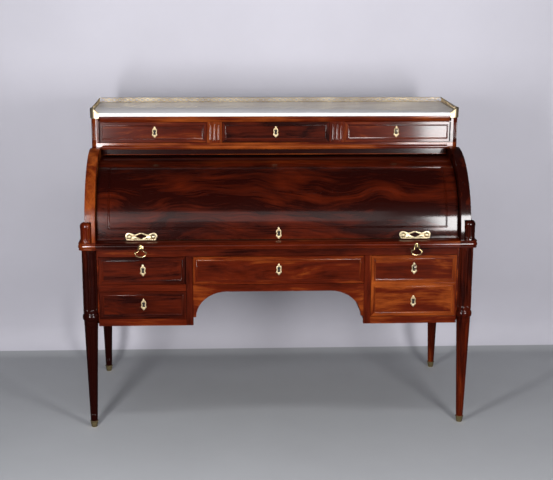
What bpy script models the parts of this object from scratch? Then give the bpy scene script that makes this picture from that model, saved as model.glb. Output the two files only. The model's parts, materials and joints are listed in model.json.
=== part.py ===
"""Cylinder desk with a marble top: a quarter round fall over a writing slide, three drawers
above it, two pedestals and a centre drawer below, on turned columns and tapered legs.

Metres, +Z up, the front faces -Y, and the origin is on the floor under the middle of the desk.
"""

from math import acos, cos, degrees, pi, radians, sin

import bmesh
import bpy
from mathutils import Matrix, Vector

# Overall sizes
CASE_WIDTH = 1.562            # over the moulding at writing level
CASE_DEPTH = 0.760            # over the same moulding
WRITING_LEVEL = 0.765         # top of that moulding
CASE_HEIGHT = 0.341           # from the underside of the pedestals to the writing level
UPPER_BACK_INSET = 0.044      # from the rear edge of the moulding to the rear of the upper part

# Clearances
GAP = 0.0003                  # between pieces that touch
SLIP = 0.0010                 # round a drawer front in its opening
RUN = 0.0015                  # under a drawer, and over the bed

# Legs
COLUMN_RADIUS = 0.029
COLUMN_INSET = 0.0105         # from the moulding's edge to the column
RING_PROJECTION = 0.0035      # of the ring under a column
RING_HEIGHT = 0.028
RING_CLEARANCE = 0.0015
LEG_TOP_RADIUS = 0.0275
LEG_FOOT_RADIUS = 0.0140
SABOT_HEIGHT = 0.026
SABOT_RADIUS = 0.0165
SABOT_SOLE_RADIUS = 0.0115
TURN_STEPS = 16

# Case
MOULDING_HEIGHT = 0.028
MOULDING_LIP = 0.0685         # breadth of the moulding over each end of the case
CORNER_RADIUS = 0.020
FRONT_SETBACK = 0.028         # from the moulding's edge to the drawer fronts
FRONT_THICKNESS = 0.020
SIDE_TONGUE = 0.0062
SIDE_THICKNESS = 0.0295
BACK_THICKNESS = 0.014
FRIEZE_HEIGHT = 0.033
BED_THICKNESS = 0.014
KNEEHOLE_HALF = 0.3375        # half the width between the pedestals
STILE_WIDTH = 0.0275
PARTITION_THICKNESS = 0.018
PARTITION_INSET = 0.005
PEDESTAL_RAIL = 0.0285
PEDESTAL_BOARD = 0.014
DIVIDER_DEPTH = 0.173         # top of the rail between two drawers, below the writing level
DIVIDER_RAIL = 0.0275
DIVIDER_BOARD = 0.012
APRON_DEPTH = 0.176           # top of the apron, below the writing level
APRON_RAIL = 0.028
ARCH_WIDTH = 0.122
ARCH_FOOT = 0.0105            # shoulder between the arch and the pedestal
ARCH_FOOT_HEIGHT = 0.033      # the shoulder, above the underside of the pedestals
RUNNER = 0.012

# Drawers
DRAWER_WALL = 0.010
DRAWER_FLOOR = 0.008
DRAWER_DROP = 0.012           # the sides stop this much below the top of the front
LOWER_DRAWER_DEPTH = 0.500
UPPER_DRAWER_DEPTH = 0.330

# Writing slide
SLIDE_THICKNESS = 0.0245
SLIDE_SINK = 0.0015           # the slide's top, below the writing level
SLIDE_BACK = 0.200
LEATHER_THICKNESS = 0.0015
LEATHER_HALF_WIDTH = 0.620
LEATHER_MARGIN = 0.060        # from the slide's front edge
LEATHER_DEPTH = 0.490

# Quarter round fall and its cheeks
AXIS_INSET = 0.325            # from the front edge of the moulding to the axis
AXIS_RISE = 0.010             # the axis, above the writing level
FALL_RADIUS = 0.274
FALL_THICKNESS = 0.018
FALL_FIRST_ANGLE = -1.7       # degrees above the horizontal, seen from the axis to the front
FALL_LAST_ANGLE = 94.0
FALL_END_CLEARANCE = 0.003
END_BOARD_THICKNESS = 0.014
END_BOARD_INSET = 0.0085      # from the cheek to the end board
HUB_RADIUS = 0.0085
PIVOT_RADIUS = 0.006
PIVOT_CLEARANCE = 0.0006
PIVOT_DEPTH = 0.0140          # how far the pivot goes into the cheek
CHEEK_RADIUS = 0.314
CHEEK_THICKNESS = 0.0405

# Stub columns on the moulding
STUB_RADIUS = 0.0225
STUB_HEIGHT = 0.080
STUB_INSET = 0.0305           # from the moulding's edge to the stub's axis
STUB_CLEARANCE = 0.0008

# Pigeonholes behind the fall
NEST_FRONT_SETBACK = 0.005    # from the axis to the front of the pigeonholes
NEST_BACK_SETBACK = 0.170     # from the axis to the rear of the pigeonholes
NEST_INSET = 0.098            # from the end of the moulding to the pigeonholes
NEST_HEIGHT = 0.183
NEST_WALL = 0.012
NEST_COMPARTMENTS = 5
NEST_LIFT = 0.003             # over the slide
SLIDE_REAR_CLEARANCE = 0.0025

# Upper box
BOX_INSET = 0.032             # from the end of the moulding to the end of the box
BOX_SETBACK = 0.003           # from the axis to the front of the box
BOX_FLOOR_RISE = 0.316        # underside of the box floor, above the writing level
BOX_FLOOR_THICKNESS = 0.027
BOX_TOP_THICKNESS = 0.0212
BOX_TOP_RISE = 0.4497         # top of the box, above the writing level
BOX_SIDE_THICKNESS = 0.0285
BOX_CORNER_RADIUS = 0.0205
BEAD_HEIGHT = 0.018
BEAD_PROJECTION = 0.010
BEAD_INSET = 0.076            # from the end of the moulding to the end of the bead
FASCIA_DROP = 0.023
FASCIA_SETBACK = 0.007
FASCIA_THICKNESS = 0.016
FLUTED_STILE_CENTRE = 0.251
FLUTED_STILE_WIDTH = 0.062
BOX_PARTITION_THICKNESS = 0.016

# Marble and gallery
MARBLE_THICKNESS = 0.014
GALLERY_HEIGHT = 0.020
GALLERY_THICKNESS = 0.004
CORNER_PIECE_WIDTH = 0.033
CORNER_TIP_RISE = 0.0015       # height of the corner piece's front tip above the marble
CORNER_SLOPE_START = 0.010     # distance of the top of its slope from the end of the case
CORNER_PIECE_DROP = 0.0065
CORNER_PIECE_THICKNESS = 0.0042

# Handles on the fall
HANDLE_X = 0.538
HANDLE_RISE = 0.007           # centre of the plate, above the axis
PLATE_HALF_WIDTH = 0.062
PLATE_END_RADIUS = 0.014
PLATE_MIDDLE_HALF = 0.0105
PLATE_WAIST_HALF = 0.0055
PLATE_THICKNESS = 0.003
POST_X = 0.046
POST_RADIUS = 0.0060
POST_LENGTH = 0.012
BAIL_RADIUS = 0.0026
BAIL_HALF_WIDTH = 0.058
BAIL_DROP = 0.0125
BAIL_CLEARANCE = 0.0005

# Drop pulls on the slide
PULL_X = 0.538
KNOB_RADIUS = 0.0055
KNOB_LENGTH = 0.014
ROSETTE_RADIUS = 0.0100
ROSETTE_THICKNESS = 0.003
RING_WIRE_RADIUS = 0.0020
RING_HALF_WIDTH = 0.022
RING_DROP = 0.036
KNOB_BELOW_TOP = 0.0145

# Keys
KEY_RADIUS = 0.0024
KEY_LENGTH = 0.012            # of shank outside the drawer
KEY_DEPTH = 0.010
KEY_CLEARANCE = 0.0006
BOW_RADIUS = 0.0105
BOW_WIRE = 0.0022
UPPER_KEY_X = 0.495
UPPER_KEY_RISE = 0.392        # above the writing level
LOWER_KEY_DEPTH = 0.105       # below the writing level

# Places worked out from the sizes above
HALF_WIDTH = CASE_WIDTH / 2
HALF_DEPTH = CASE_DEPTH / 2
UPPER_BACK = HALF_DEPTH - UPPER_BACK_INSET
AXIS_Y = AXIS_INSET - HALF_DEPTH
NEST_FRONT = AXIS_Y + NEST_FRONT_SETBACK
NEST_BACK = AXIS_Y + NEST_BACK_SETBACK
BOX_FRONT = AXIS_Y + BOX_SETBACK
CASE_BOTTOM = WRITING_LEVEL - CASE_HEIGHT
DIVIDER_TOP = WRITING_LEVEL - DIVIDER_DEPTH
APRON_TOP = WRITING_LEVEL - APRON_DEPTH
RING_RADIUS = COLUMN_RADIUS + RING_PROJECTION
SIDE_INNER = COLUMN_INSET + 2 * COLUMN_RADIUS + GAP + SIDE_TONGUE
LEG_X = HALF_WIDTH - COLUMN_INSET - COLUMN_RADIUS
LEG_Y = HALF_DEPTH - COLUMN_INSET - COLUMN_RADIUS
MOULDING_BOTTOM = WRITING_LEVEL - MOULDING_HEIGHT
MOULDING_INNER = HALF_WIDTH - MOULDING_LIP
RING_BOTTOM = CASE_BOTTOM + 0.023
CASE_FRONT = -HALF_DEPTH + FRONT_SETBACK
CASE_TOP = MOULDING_BOTTOM - GAP
FRAME_BACK = CASE_FRONT + FRONT_THICKNESS
SIDE_X = HALF_WIDTH - SIDE_INNER
CASE_BACK = LEG_Y - COLUMN_RADIUS + GAP
FRIEZE_BOTTOM = MOULDING_BOTTOM - FRIEZE_HEIGHT
BED_BOTTOM = CASE_TOP - BED_THICKNESS
PEDESTAL_X = KNEEHOLE_HALF + GAP + STILE_WIDTH
PARTITION_X = KNEEHOLE_HALF + GAP + PARTITION_INSET
PEDESTAL_FLOOR = CASE_BOTTOM + PEDESTAL_RAIL
AXIS_Z = WRITING_LEVEL + AXIS_RISE
CHEEK_X = MOULDING_INNER + 0.001
STUB_X = HALF_WIDTH - STUB_INSET
STUB_Y = HALF_DEPTH - STUB_INSET
SLIDE_TOP = WRITING_LEVEL - SLIDE_SINK
SLIDE_HALF = MOULDING_INNER - SLIP
BOX_HALF = HALF_WIDTH - BOX_INSET
BEAD_HALF_WIDTH = HALF_WIDTH - BEAD_INSET
NEST_HALF_WIDTH = HALF_WIDTH - NEST_INSET
BOX_FLOOR_BOTTOM = WRITING_LEVEL + BOX_FLOOR_RISE
BOX_TOP = WRITING_LEVEL + BOX_TOP_RISE
UPPER_KEY_Z = WRITING_LEVEL + UPPER_KEY_RISE
LOWER_KEY_Z = WRITING_LEVEL - LOWER_KEY_DEPTH
BOX_INNER = BOX_HALF - BOX_SIDE_THICKNESS
BOX_FLOOR_TOP = BOX_FLOOR_BOTTOM + BOX_FLOOR_THICKNESS
BACK_FRONT = UPPER_BACK - BACK_THICKNESS
MARBLE_BOTTOM = BOX_TOP + GAP
MARBLE_TOP = MARBLE_BOTTOM + MARBLE_THICKNESS
GALLERY_TOP = MARBLE_TOP + GALLERY_HEIGHT
HANDLE_Z = AXIS_Z + HANDLE_RISE
FALL_FRONT = AXIS_Y - FALL_RADIUS
KNOB_Z = SLIDE_TOP - KNOB_BELOW_TOP
PULL_PROJECTION = GAP + ROSETTE_THICKNESS + KNOB_LENGTH


def clear_scene():
    for obj in list(bpy.data.objects):
        bpy.data.objects.remove(obj, do_unlink=True)


def new_collection(name, hidden=False):
    collection = bpy.data.collections.new(name)
    bpy.context.scene.collection.children.link(collection)
    collection.hide_render = hidden
    return collection


def new_material(name, colour, roughness, metallic=0.0):
    material = bpy.data.materials.new(name)
    material.use_nodes = True
    shader = material.node_tree.nodes["Principled BSDF"]
    shader.inputs["Base Color"].default_value = (*colour, 1.0)
    shader.inputs["Roughness"].default_value = roughness
    shader.inputs["Metallic"].default_value = metallic
    return material


clear_scene()
PARTS = new_collection("cylinder_desk")
CUTTERS = new_collection("cutters", hidden=True)
# Every size below is measured from the middle of the moulding. Moving the whole desk back by half
# of what the pulls project centres it on the origin.
DESK = bpy.data.objects.new("desk", None)
DESK.location = (0.0, PULL_PROJECTION / 2, 0.0)
PARTS.objects.link(DESK)
MAHOGANY = new_material("mahogany", (0.090, 0.016, 0.008), 0.22)
CARCASS_WOOD = new_material("carcass_wood", (0.330, 0.200, 0.110), 0.60)
BRASS = new_material("gilt_brass", (0.780, 0.600, 0.280), 0.25, 1.0)
MARBLE = new_material("marble", (0.720, 0.730, 0.740), 0.20)
LEATHER = new_material("leather", (0.060, 0.110, 0.070), 0.50)
STEEL = new_material("key_steel", (0.560, 0.500, 0.380), 0.35, 1.0)


def place(name, mesh, material, origin=(0.0, 0.0, 0.0), cutter=False):
    """Puts a mesh, given in world coordinates, in the scene with its origin where it is wanted."""
    mesh.name = name
    mesh.transform(Matrix.Translation(-Vector(origin)))
    obj = bpy.data.objects.new(name, mesh)
    obj.location = origin
    obj.parent = DESK
    if cutter:
        CUTTERS.objects.link(obj)
        obj.hide_render = True
        obj.display_type = "WIRE"
    else:
        PARTS.objects.link(obj)
        mesh.materials.append(material)
    return obj


def box_mesh(low, high):
    mesh = bpy.data.meshes.new("box")
    shape = bmesh.new()
    size = Vector(high) - Vector(low)
    middle = (Vector(high) + Vector(low)) / 2
    bmesh.ops.create_cube(shape, size=1.0, matrix=Matrix.Translation(middle) @ Matrix.Diagonal((*size, 1.0)))
    shape.to_mesh(mesh)
    shape.free()
    return mesh


def box(name, low, high, material, origin=(0.0, 0.0, 0.0)):
    return place(name, box_mesh(low, high), material, origin)


def outline_mesh(points, first, last, axis):
    """A flat outline, thickened along an axis. Its two coordinates are the other two axes, in order."""
    curve = bpy.data.curves.new("outline", "CURVE")
    curve.dimensions = "2D"
    curve.fill_mode = "BOTH"
    curve.extrude = (last - first) / 2
    spline = curve.splines.new("POLY")
    spline.points.add(len(points) - 1)
    spline.use_cyclic_u = True
    for point, (across, up) in zip(spline.points, points):
        point.co = (across, up, 0.0, 1.0)
    guide = bpy.data.objects.new("outline", curve)
    PARTS.objects.link(guide)
    bpy.context.view_layer.update()
    mesh = bpy.data.meshes.new_from_object(guide.evaluated_get(bpy.context.evaluated_depsgraph_get()))
    middle = (first + last) / 2
    turn = {
        "X": Matrix(((0, 0, 1, middle), (1, 0, 0, 0), (0, 1, 0, 0), (0, 0, 0, 1))),
        "Y": Matrix(((1, 0, 0, 0), (0, 0, -1, middle), (0, 1, 0, 0), (0, 0, 0, 1))),
        "Z": Matrix.Translation((0, 0, middle)),
    }[axis]
    bpy.data.objects.remove(guide, do_unlink=True)
    bpy.data.curves.remove(curve)
    mesh.transform(turn)
    shape = bmesh.new()
    shape.from_mesh(mesh)
    bmesh.ops.remove_doubles(shape, verts=shape.verts, dist=0.00001)
    bmesh.ops.recalc_face_normals(shape, faces=shape.faces)
    shape.to_mesh(mesh)
    shape.free()
    return mesh


def outline(name, points, first, last, axis, material, origin=(0.0, 0.0, 0.0)):
    return place(name, outline_mesh(points, first, last, axis), material, origin)


def arc(centre, radius, start, end, steps, radius_up=None):
    """Points of an arc from one angle to another, in degrees, anticlockwise from the first axis."""
    radius_up = radius if radius_up is None else radius_up
    angles = [radians(start + (end - start) * step / steps) for step in range(steps + 1)]
    return [(centre[0] + radius * cos(angle), centre[1] + radius_up * sin(angle)) for angle in angles]


def turned(name, profile, centre, material):
    """A profile of (radius, height) points, from the top down, turned about a vertical axis."""
    mesh = bpy.data.meshes.new(name)
    points = [(radius, 0.0, height) for radius, height in profile]
    mesh.from_pydata(points, [(step, step + 1) for step in range(len(points) - 1)], [])
    obj = place(name, mesh, material)
    obj.location = (*centre, 0.0)
    screw = obj.modifiers.new("turning", "SCREW")
    screw.axis = "Z"
    screw.steps = TURN_STEPS
    screw.render_steps = TURN_STEPS
    screw.use_merge_vertices = True
    screw.merge_threshold = 0.0001
    screw.use_smooth_shade = True
    return obj


def peg_mesh(start, end, radius, sides=16):
    """A round peg between two points."""
    mesh = bpy.data.meshes.new("peg")
    shape = bmesh.new()
    span = Vector(end) - Vector(start)
    turn = span.to_track_quat("Z", "Y").to_matrix().to_4x4()
    middle = (Vector(start) + Vector(end)) / 2
    bmesh.ops.create_cone(shape, cap_ends=True, segments=sides, radius1=radius, radius2=radius,
                          depth=span.length, matrix=Matrix.Translation(middle) @ turn)
    shape.to_mesh(mesh)
    shape.free()
    return mesh


def wire(name, points, radius, material, origin, cyclic=False):
    """A round wire through points given in world coordinates."""
    curve = bpy.data.curves.new(name, "CURVE")
    curve.dimensions = "3D"
    curve.bevel_depth = radius
    curve.bevel_resolution = 2
    curve.use_fill_caps = True
    spline = curve.splines.new("POLY")
    spline.points.add(len(points) - 1)
    spline.use_cyclic_u = cyclic
    for point, place_of in zip(spline.points, points):
        point.co = (*(Vector(place_of) - Vector(origin)), 1.0)
    curve.materials.append(material)
    obj = bpy.data.objects.new(name, curve)
    obj.location = origin
    obj.parent = DESK
    PARTS.objects.link(obj)
    return obj


def combine(obj, mesh, operation):
    """Cuts or joins a mesh, given in world coordinates, with an object."""
    tool = place(f"{obj.name}_{operation.lower()}_{len(obj.modifiers)}", mesh, None, cutter=True)
    modifier = obj.modifiers.new(tool.name, "BOOLEAN")
    modifier.operation = operation
    modifier.solver = "EXACT"
    modifier.object = tool


def cut(obj, mesh):
    combine(obj, mesh, "DIFFERENCE")


def join(obj, mesh):
    combine(obj, mesh, "UNION")


def side_name(side):
    return "left" if side < 0 else "right"


def mirrored(points, side):
    """The outline on the chosen side of the desk, kept in the same turning direction."""
    if side > 0:
        return list(points)
    return [(-across, up) for across, up in reversed(points)]


def span(side, near, far):
    """Lowest and highest x of a piece between two distances from the middle of the desk."""
    return (near, far) if side > 0 else (-far, -near)


def make_leg(side, end):
    name = f"leg_{'front' if end < 0 else 'rear'}_{side_name(side)}"
    ring_top = RING_BOTTOM + RING_HEIGHT
    ring_middle = (RING_BOTTOM + ring_top) / 2
    neck = 0.002
    foot = SABOT_HEIGHT + GAP
    profile = [
        (0.0, CASE_TOP),
        (COLUMN_RADIUS, CASE_TOP),
        (COLUMN_RADIUS, ring_top + neck),
        (COLUMN_RADIUS - neck, ring_top + neck),
        (COLUMN_RADIUS - neck, ring_top),
        (RING_RADIUS - neck, ring_top),
        (RING_RADIUS, ring_middle + 0.004),
        (RING_RADIUS, ring_middle - 0.004),
        (RING_RADIUS - neck, RING_BOTTOM),
        (LEG_TOP_RADIUS, RING_BOTTOM - neck),
        (LEG_FOOT_RADIUS, foot),
        (0.0, foot),
    ]
    turned(name, profile, (side * LEG_X, end * LEG_Y), MAHOGANY)


def make_sabot(side, end):
    name = f"sabot_{'front' if end < 0 else 'rear'}_{side_name(side)}"
    collar = 0.005
    profile = [
        (0.0, SABOT_HEIGHT),
        (SABOT_RADIUS - 0.001, SABOT_HEIGHT),
        (SABOT_RADIUS, SABOT_HEIGHT - collar / 2),
        (SABOT_RADIUS - 0.001, SABOT_HEIGHT - collar),
        (LEG_FOOT_RADIUS, SABOT_HEIGHT - collar - 0.002),
        (SABOT_SOLE_RADIUS, 0.0),
        (0.0, 0.0),
    ]
    turned(name, profile, (side * LEG_X, end * LEG_Y), BRASS)


def make_stub_column(side, end):
    name = f"stub_column_{'front' if end < 0 else 'rear'}_{side_name(side)}"
    bottom = WRITING_LEVEL + GAP
    top = WRITING_LEVEL + STUB_HEIGHT
    shoulder = top - STUB_RADIUS * 0.6
    turns = [pi / 2 * (1 - step / 4) for step in range(5)]
    dome = [(STUB_RADIUS * cos(turn), shoulder + (top - shoulder) * sin(turn)) for turn in turns]
    dome[0] = (0.0, top)
    turned(name, dome + [(STUB_RADIUS, bottom), (0.0, bottom)], (side * STUB_X, end * STUB_Y), MAHOGANY)


def make_side_panel(side):
    """The end of the case, with a thin tongue beside each column."""
    tongue = SIDE_X + SIDE_TONGUE
    outer = SIDE_X + SIDE_THICKNESS
    step = LEG_Y - COLUMN_RADIUS - GAP
    back = CASE_BACK + BACK_THICKNESS
    points = [(SIDE_X, CASE_FRONT), (tongue, CASE_FRONT), (tongue, -step), (outer, -step),
              (outer, step), (tongue, step), (tongue, back), (SIDE_X, back)]
    name = f"side_panel_{side_name(side)}"
    panel = outline(name, mirrored(points, side), CASE_BOTTOM, CASE_TOP, "Z", MAHOGANY)
    for end in (-1, 1):
        x, y = side * LEG_X, end * LEG_Y
        cut(panel, peg_mesh((x, y, CASE_BOTTOM - 0.01), (x, y, RING_BOTTOM + RING_HEIGHT + RING_CLEARANCE),
                            RING_RADIUS + RING_CLEARANCE, TURN_STEPS))


def arch_points():
    """The underside of the centre apron: two quarter ellipses, a straight crown and a shoulder each side."""
    foot = CASE_BOTTOM + ARCH_FOOT_HEIGHT
    crown = APRON_TOP - APRON_RAIL
    inner = KNEEHOLE_HALF - ARCH_FOOT
    right = arc((inner - ARCH_WIDTH, foot), ARCH_WIDTH, 0, 90, 10, crown - foot)
    half = [(KNEEHOLE_HALF, foot)] + right
    return half + [(-across, up) for across, up in reversed(half)]


def make_centre_apron():
    points = [(-KNEEHOLE_HALF, APRON_TOP), (KNEEHOLE_HALF, APRON_TOP)] + arch_points()
    outline("centre_apron", points, CASE_FRONT, FRAME_BACK, "Y", MAHOGANY)


def make_lower_back():
    """The rear of the case, cut away between the pedestals."""
    edge = SIDE_X - GAP
    crown = APRON_TOP - APRON_RAIL
    points = [(-edge, CASE_BOTTOM), (-KNEEHOLE_HALF, CASE_BOTTOM), (-KNEEHOLE_HALF, crown)]
    points += [(KNEEHOLE_HALF, crown), (KNEEHOLE_HALF, CASE_BOTTOM), (edge, CASE_BOTTOM)]
    points += [(edge, CASE_TOP), (-edge, CASE_TOP)]
    outline("back_panel_lower", points, CASE_BACK, CASE_BACK + BACK_THICKNESS, "Y", MAHOGANY)


def make_partition(side):
    """The inner wall of a pedestal: a front stile, a board behind it and a runner for the centre drawer."""
    lap = 0.002
    low, high = span(side, KNEEHOLE_HALF + GAP, PEDESTAL_X - GAP)
    piece = box(f"partition_{side_name(side)}", (low, CASE_FRONT, CASE_BOTTOM),
                (high, FRAME_BACK, FRIEZE_BOTTOM - GAP), MAHOGANY)
    low, high = span(side, PARTITION_X, PARTITION_X + PARTITION_THICKNESS)
    board_top = FRIEZE_BOTTOM - GAP - lap
    join(piece, box_mesh((low, FRAME_BACK - lap, CASE_BOTTOM + lap), (high, CASE_BACK - GAP, board_top)))
    low, high = span(side, PARTITION_X - RUNNER, PARTITION_X + lap)
    runner_front = FRAME_BACK + GAP
    join(piece, box_mesh((low, runner_front, APRON_TOP - RUNNER), (high, CASE_BACK - RUNNER, APRON_TOP)))


def make_pedestal_bottom(side):
    lap = 0.002
    low, high = span(side, PEDESTAL_X, SIDE_X - GAP)
    piece = box(f"pedestal_bottom_{side_name(side)}", (low, CASE_FRONT, CASE_BOTTOM),
                (high, FRAME_BACK, PEDESTAL_FLOOR), MAHOGANY)
    low, high = span(side, PEDESTAL_X + lap / 4, SIDE_X - GAP - lap / 4)
    underside = PEDESTAL_FLOOR - PEDESTAL_BOARD
    rear = (high, CASE_BACK - GAP, PEDESTAL_FLOOR - lap / 4)
    join(piece, box_mesh((low, FRAME_BACK - lap, underside), rear))


def make_divider():
    """The rail between the two left drawers, with the board that carries the upper one."""
    lap = 0.002
    low, high = span(-1, PEDESTAL_X, SIDE_X - GAP)
    piece = box("drawer_divider_left", (low, CASE_FRONT, DIVIDER_TOP - DIVIDER_RAIL),
                (high, FRAME_BACK, DIVIDER_TOP), MAHOGANY)
    low, high = span(-1, PEDESTAL_X + lap / 4, SIDE_X - GAP - lap / 4)
    top = DIVIDER_TOP - lap / 4
    join(piece, box_mesh((low, FRAME_BACK - lap, top - DIVIDER_BOARD), (high, CASE_BACK - GAP, top)))


def make_moulding_end(side):
    """The moulding over one end of the case, with rounded outer corners."""
    outer = HALF_WIDTH - CORNER_RADIUS
    end = HALF_DEPTH - CORNER_RADIUS
    points = [(MOULDING_INNER, -HALF_DEPTH)]
    points += arc((outer, -end), CORNER_RADIUS, -90, 0, 6)
    points += arc((outer, end), CORNER_RADIUS, 0, 90, 6)
    points += [(MOULDING_INNER, HALF_DEPTH)]
    name = f"moulding_{side_name(side)}"
    outline(name, mirrored(points, side), MOULDING_BOTTOM, WRITING_LEVEL, "Z", MAHOGANY)


def make_cheek(side):
    """The quarter round end above the writing level, notched for the stub columns and bored for the pivot."""
    bottom = WRITING_LEVEL + GAP
    top = BOX_FLOOR_BOTTOM - GAP
    shoulder = BOX_FRONT - BEAD_PROJECTION - GAP
    last = degrees(acos((shoulder - AXIS_Y) / CHEEK_RADIUS))
    points = [(AXIS_Y - CHEEK_RADIUS, bottom)]
    points += arc((AXIS_Y, AXIS_Z), CHEEK_RADIUS, 180, last, 24)
    points += [(shoulder, top), (UPPER_BACK, top), (UPPER_BACK, bottom)]
    low, high = span(side, CHEEK_X, CHEEK_X + CHEEK_THICKNESS)
    piece = outline(f"cheek_{side_name(side)}", points, low, high, "X", MAHOGANY)
    margin = 0.004
    for end in (-1, 1):
        x, y = side * STUB_X, end * STUB_Y
        cut(piece, peg_mesh((x, y, WRITING_LEVEL - margin), (x, y, WRITING_LEVEL + STUB_HEIGHT + margin),
                            STUB_RADIUS + STUB_CLEARANCE, TURN_STEPS))
    inner = side * (CHEEK_X - margin)
    deep = side * (CHEEK_X + PIVOT_DEPTH + 0.002)
    cut(piece, peg_mesh((inner, AXIS_Y, AXIS_Z), (deep, AXIS_Y, AXIS_Z), PIVOT_RADIUS + PIVOT_CLEARANCE))


def make_case():
    for side in (-1, 1):
        for end in (-1, 1):
            make_leg(side, end)
            make_sabot(side, end)
            make_stub_column(side, end)
        make_side_panel(side)
        make_partition(side)
        make_pedestal_bottom(side)
        make_moulding_end(side)
        make_cheek(side)
    make_lower_back()
    make_centre_apron()
    make_divider()
    edge = SIDE_X - GAP
    box("frieze_rail", (-edge, CASE_FRONT, FRIEZE_BOTTOM), (edge, FRAME_BACK, CASE_TOP), MAHOGANY)
    box("bed_board", (-edge, FRAME_BACK + GAP, BED_BOTTOM), (edge, CASE_BACK - GAP, CASE_TOP), CARCASS_WOOD)
    edge = MOULDING_INNER - GAP
    box("moulding_rear", (-edge, BACK_FRONT, MOULDING_BOTTOM), (edge, HALF_DEPTH, WRITING_LEVEL), MAHOGANY)
    edge = CHEEK_X - GAP
    box("back_panel_upper", (-edge, BACK_FRONT, WRITING_LEVEL + GAP), (edge, UPPER_BACK, BOX_TOP), MAHOGANY)


def make_nest():
    """Pigeonholes inside the fall. Their floor runs back to the deck behind the slide."""
    deck_half = MOULDING_INNER - GAP
    deck_front = SLIDE_BACK + SLIDE_REAR_CLEARANCE
    deck_back = BACK_FRONT - GAP
    lap = 0.002
    bottom = SLIDE_TOP + NEST_LIFT
    floor_top = bottom + NEST_WALL
    top = bottom + NEST_HEIGHT
    half = NEST_HALF_WIDTH
    piece = box("pigeonhole_nest", (-half, NEST_FRONT, bottom), (half, NEST_BACK, top), MAHOGANY)
    link_low = (lap - half, NEST_BACK - lap, bottom + lap / 4)
    join(piece, box_mesh(link_low, (half - lap, deck_back - lap, floor_top - lap / 4)))
    deck_low = (-deck_half, deck_front, SLIDE_TOP - SLIDE_THICKNESS)
    join(piece, box_mesh(deck_low, (deck_half, deck_back, bottom + lap)))
    pitch = (2 * half - NEST_WALL) / NEST_COMPARTMENTS
    for number in range(NEST_COMPARTMENTS):
        left = NEST_WALL - half + number * pitch
        cut(piece, box_mesh((left, NEST_FRONT - NEST_WALL, floor_top),
                            (left + pitch - NEST_WALL, NEST_BACK - NEST_WALL, top - NEST_WALL)))


def fall_point(radius, angle):
    """(y, z) of a point of the fall, at an angle in degrees above the horizontal towards the front."""
    return AXIS_Y - radius * cos(radians(angle)), AXIS_Z + radius * sin(radians(angle))


def fall_arc(radius, first, last, steps):
    return [fall_point(radius, first + (last - first) * step / steps) for step in range(steps + 1)]


def make_fall():
    """The quarter round fall: one curved board, and an end board with a pivot at each end."""
    axis = (0.0, AXIS_Y, AXIS_Z)
    inner = FALL_RADIUS - FALL_THICKNESS
    steps = 28
    points = fall_arc(FALL_RADIUS, FALL_FIRST_ANGLE, FALL_LAST_ANGLE, steps)
    points += reversed(fall_arc(inner, FALL_FIRST_ANGLE, FALL_LAST_ANGLE, steps))
    half = CHEEK_X - FALL_END_CLEARANCE
    outline("fall_shell", points, -half, half, "X", MAHOGANY, axis)
    for side in (-1, 1):
        rim = inner - 2 * GAP
        board = fall_arc(rim, FALL_FIRST_ANGLE, FALL_LAST_ANGLE - 1.0, steps)
        board += arc((AXIS_Y, AXIS_Z), HUB_RADIUS, 0, -90, 5)
        outer = CHEEK_X - END_BOARD_INSET
        low, high = span(side, outer - END_BOARD_THICKNESS, outer)
        piece = outline(f"fall_end_{side_name(side)}", board, low, high, "X", CARCASS_WOOD, axis)
        start = side * (outer - END_BOARD_THICKNESS / 2)
        end = side * (CHEEK_X + PIVOT_DEPTH)
        join(piece, peg_mesh((start, AXIS_Y, AXIS_Z), (end, AXIS_Y, AXIS_Z), PIVOT_RADIUS))


def make_fall_handle(side):
    """A pierced plate with two posts, and the bail that turns in them."""
    centre = side * HANDLE_X
    back = FALL_FRONT - GAP
    front = back - PLATE_THICKNESS
    end_centre = PLATE_HALF_WIDTH - PLATE_END_RADIUS
    right = arc((end_centre, 0.0), PLATE_END_RADIUS, -120, 120, 12)
    waist = end_centre * 0.55
    half = [(0.0, -PLATE_MIDDLE_HALF), (waist, -PLATE_WAIST_HALF)] + right + [(waist, PLATE_WAIST_HALF)]
    points = half + [(-across, -up) for across, up in half]
    points = [(centre + across, HANDLE_Z + up) for across, up in points]
    name = side_name(side)
    plate = outline(f"fall_handle_plate_{name}", points, front, back, "Y", BRASS)
    reach = front - POST_LENGTH
    pivot_y = reach + POST_RADIUS
    for hand in (-1, 1):
        x = centre + hand * POST_X
        root = back - PLATE_THICKNESS / 2
        join(plate, peg_mesh((x, root, HANDLE_Z), (x, reach, HANDLE_Z), POST_RADIUS, 12))
    for hand in (-1, 1):
        inner = centre + hand * (POST_X - POST_RADIUS * 0.2)
        outer = centre + hand * (POST_X + POST_RADIUS * 2)
        bore = BAIL_RADIUS + BAIL_CLEARANCE
        cut(plate, peg_mesh((inner, pivot_y, HANDLE_Z), (outer, pivot_y, HANDLE_Z), bore, 12))
    drop = HANDLE_Z - BAIL_DROP
    path = []
    for hand in (-1, 1):
        tip = (centre + hand * (POST_X + POST_RADIUS * 0.2), pivot_y, HANDLE_Z)
        shoulder = (centre + hand * BAIL_HALF_WIDTH, pivot_y, HANDLE_Z)
        corner = (centre + hand * BAIL_HALF_WIDTH, pivot_y, drop)
        path += [tip, shoulder, corner] if hand < 0 else [corner, shoulder, tip]
    wire(f"fall_bail_{name}", path, BAIL_RADIUS, BRASS, (centre, pivot_y, HANDLE_Z))


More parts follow.
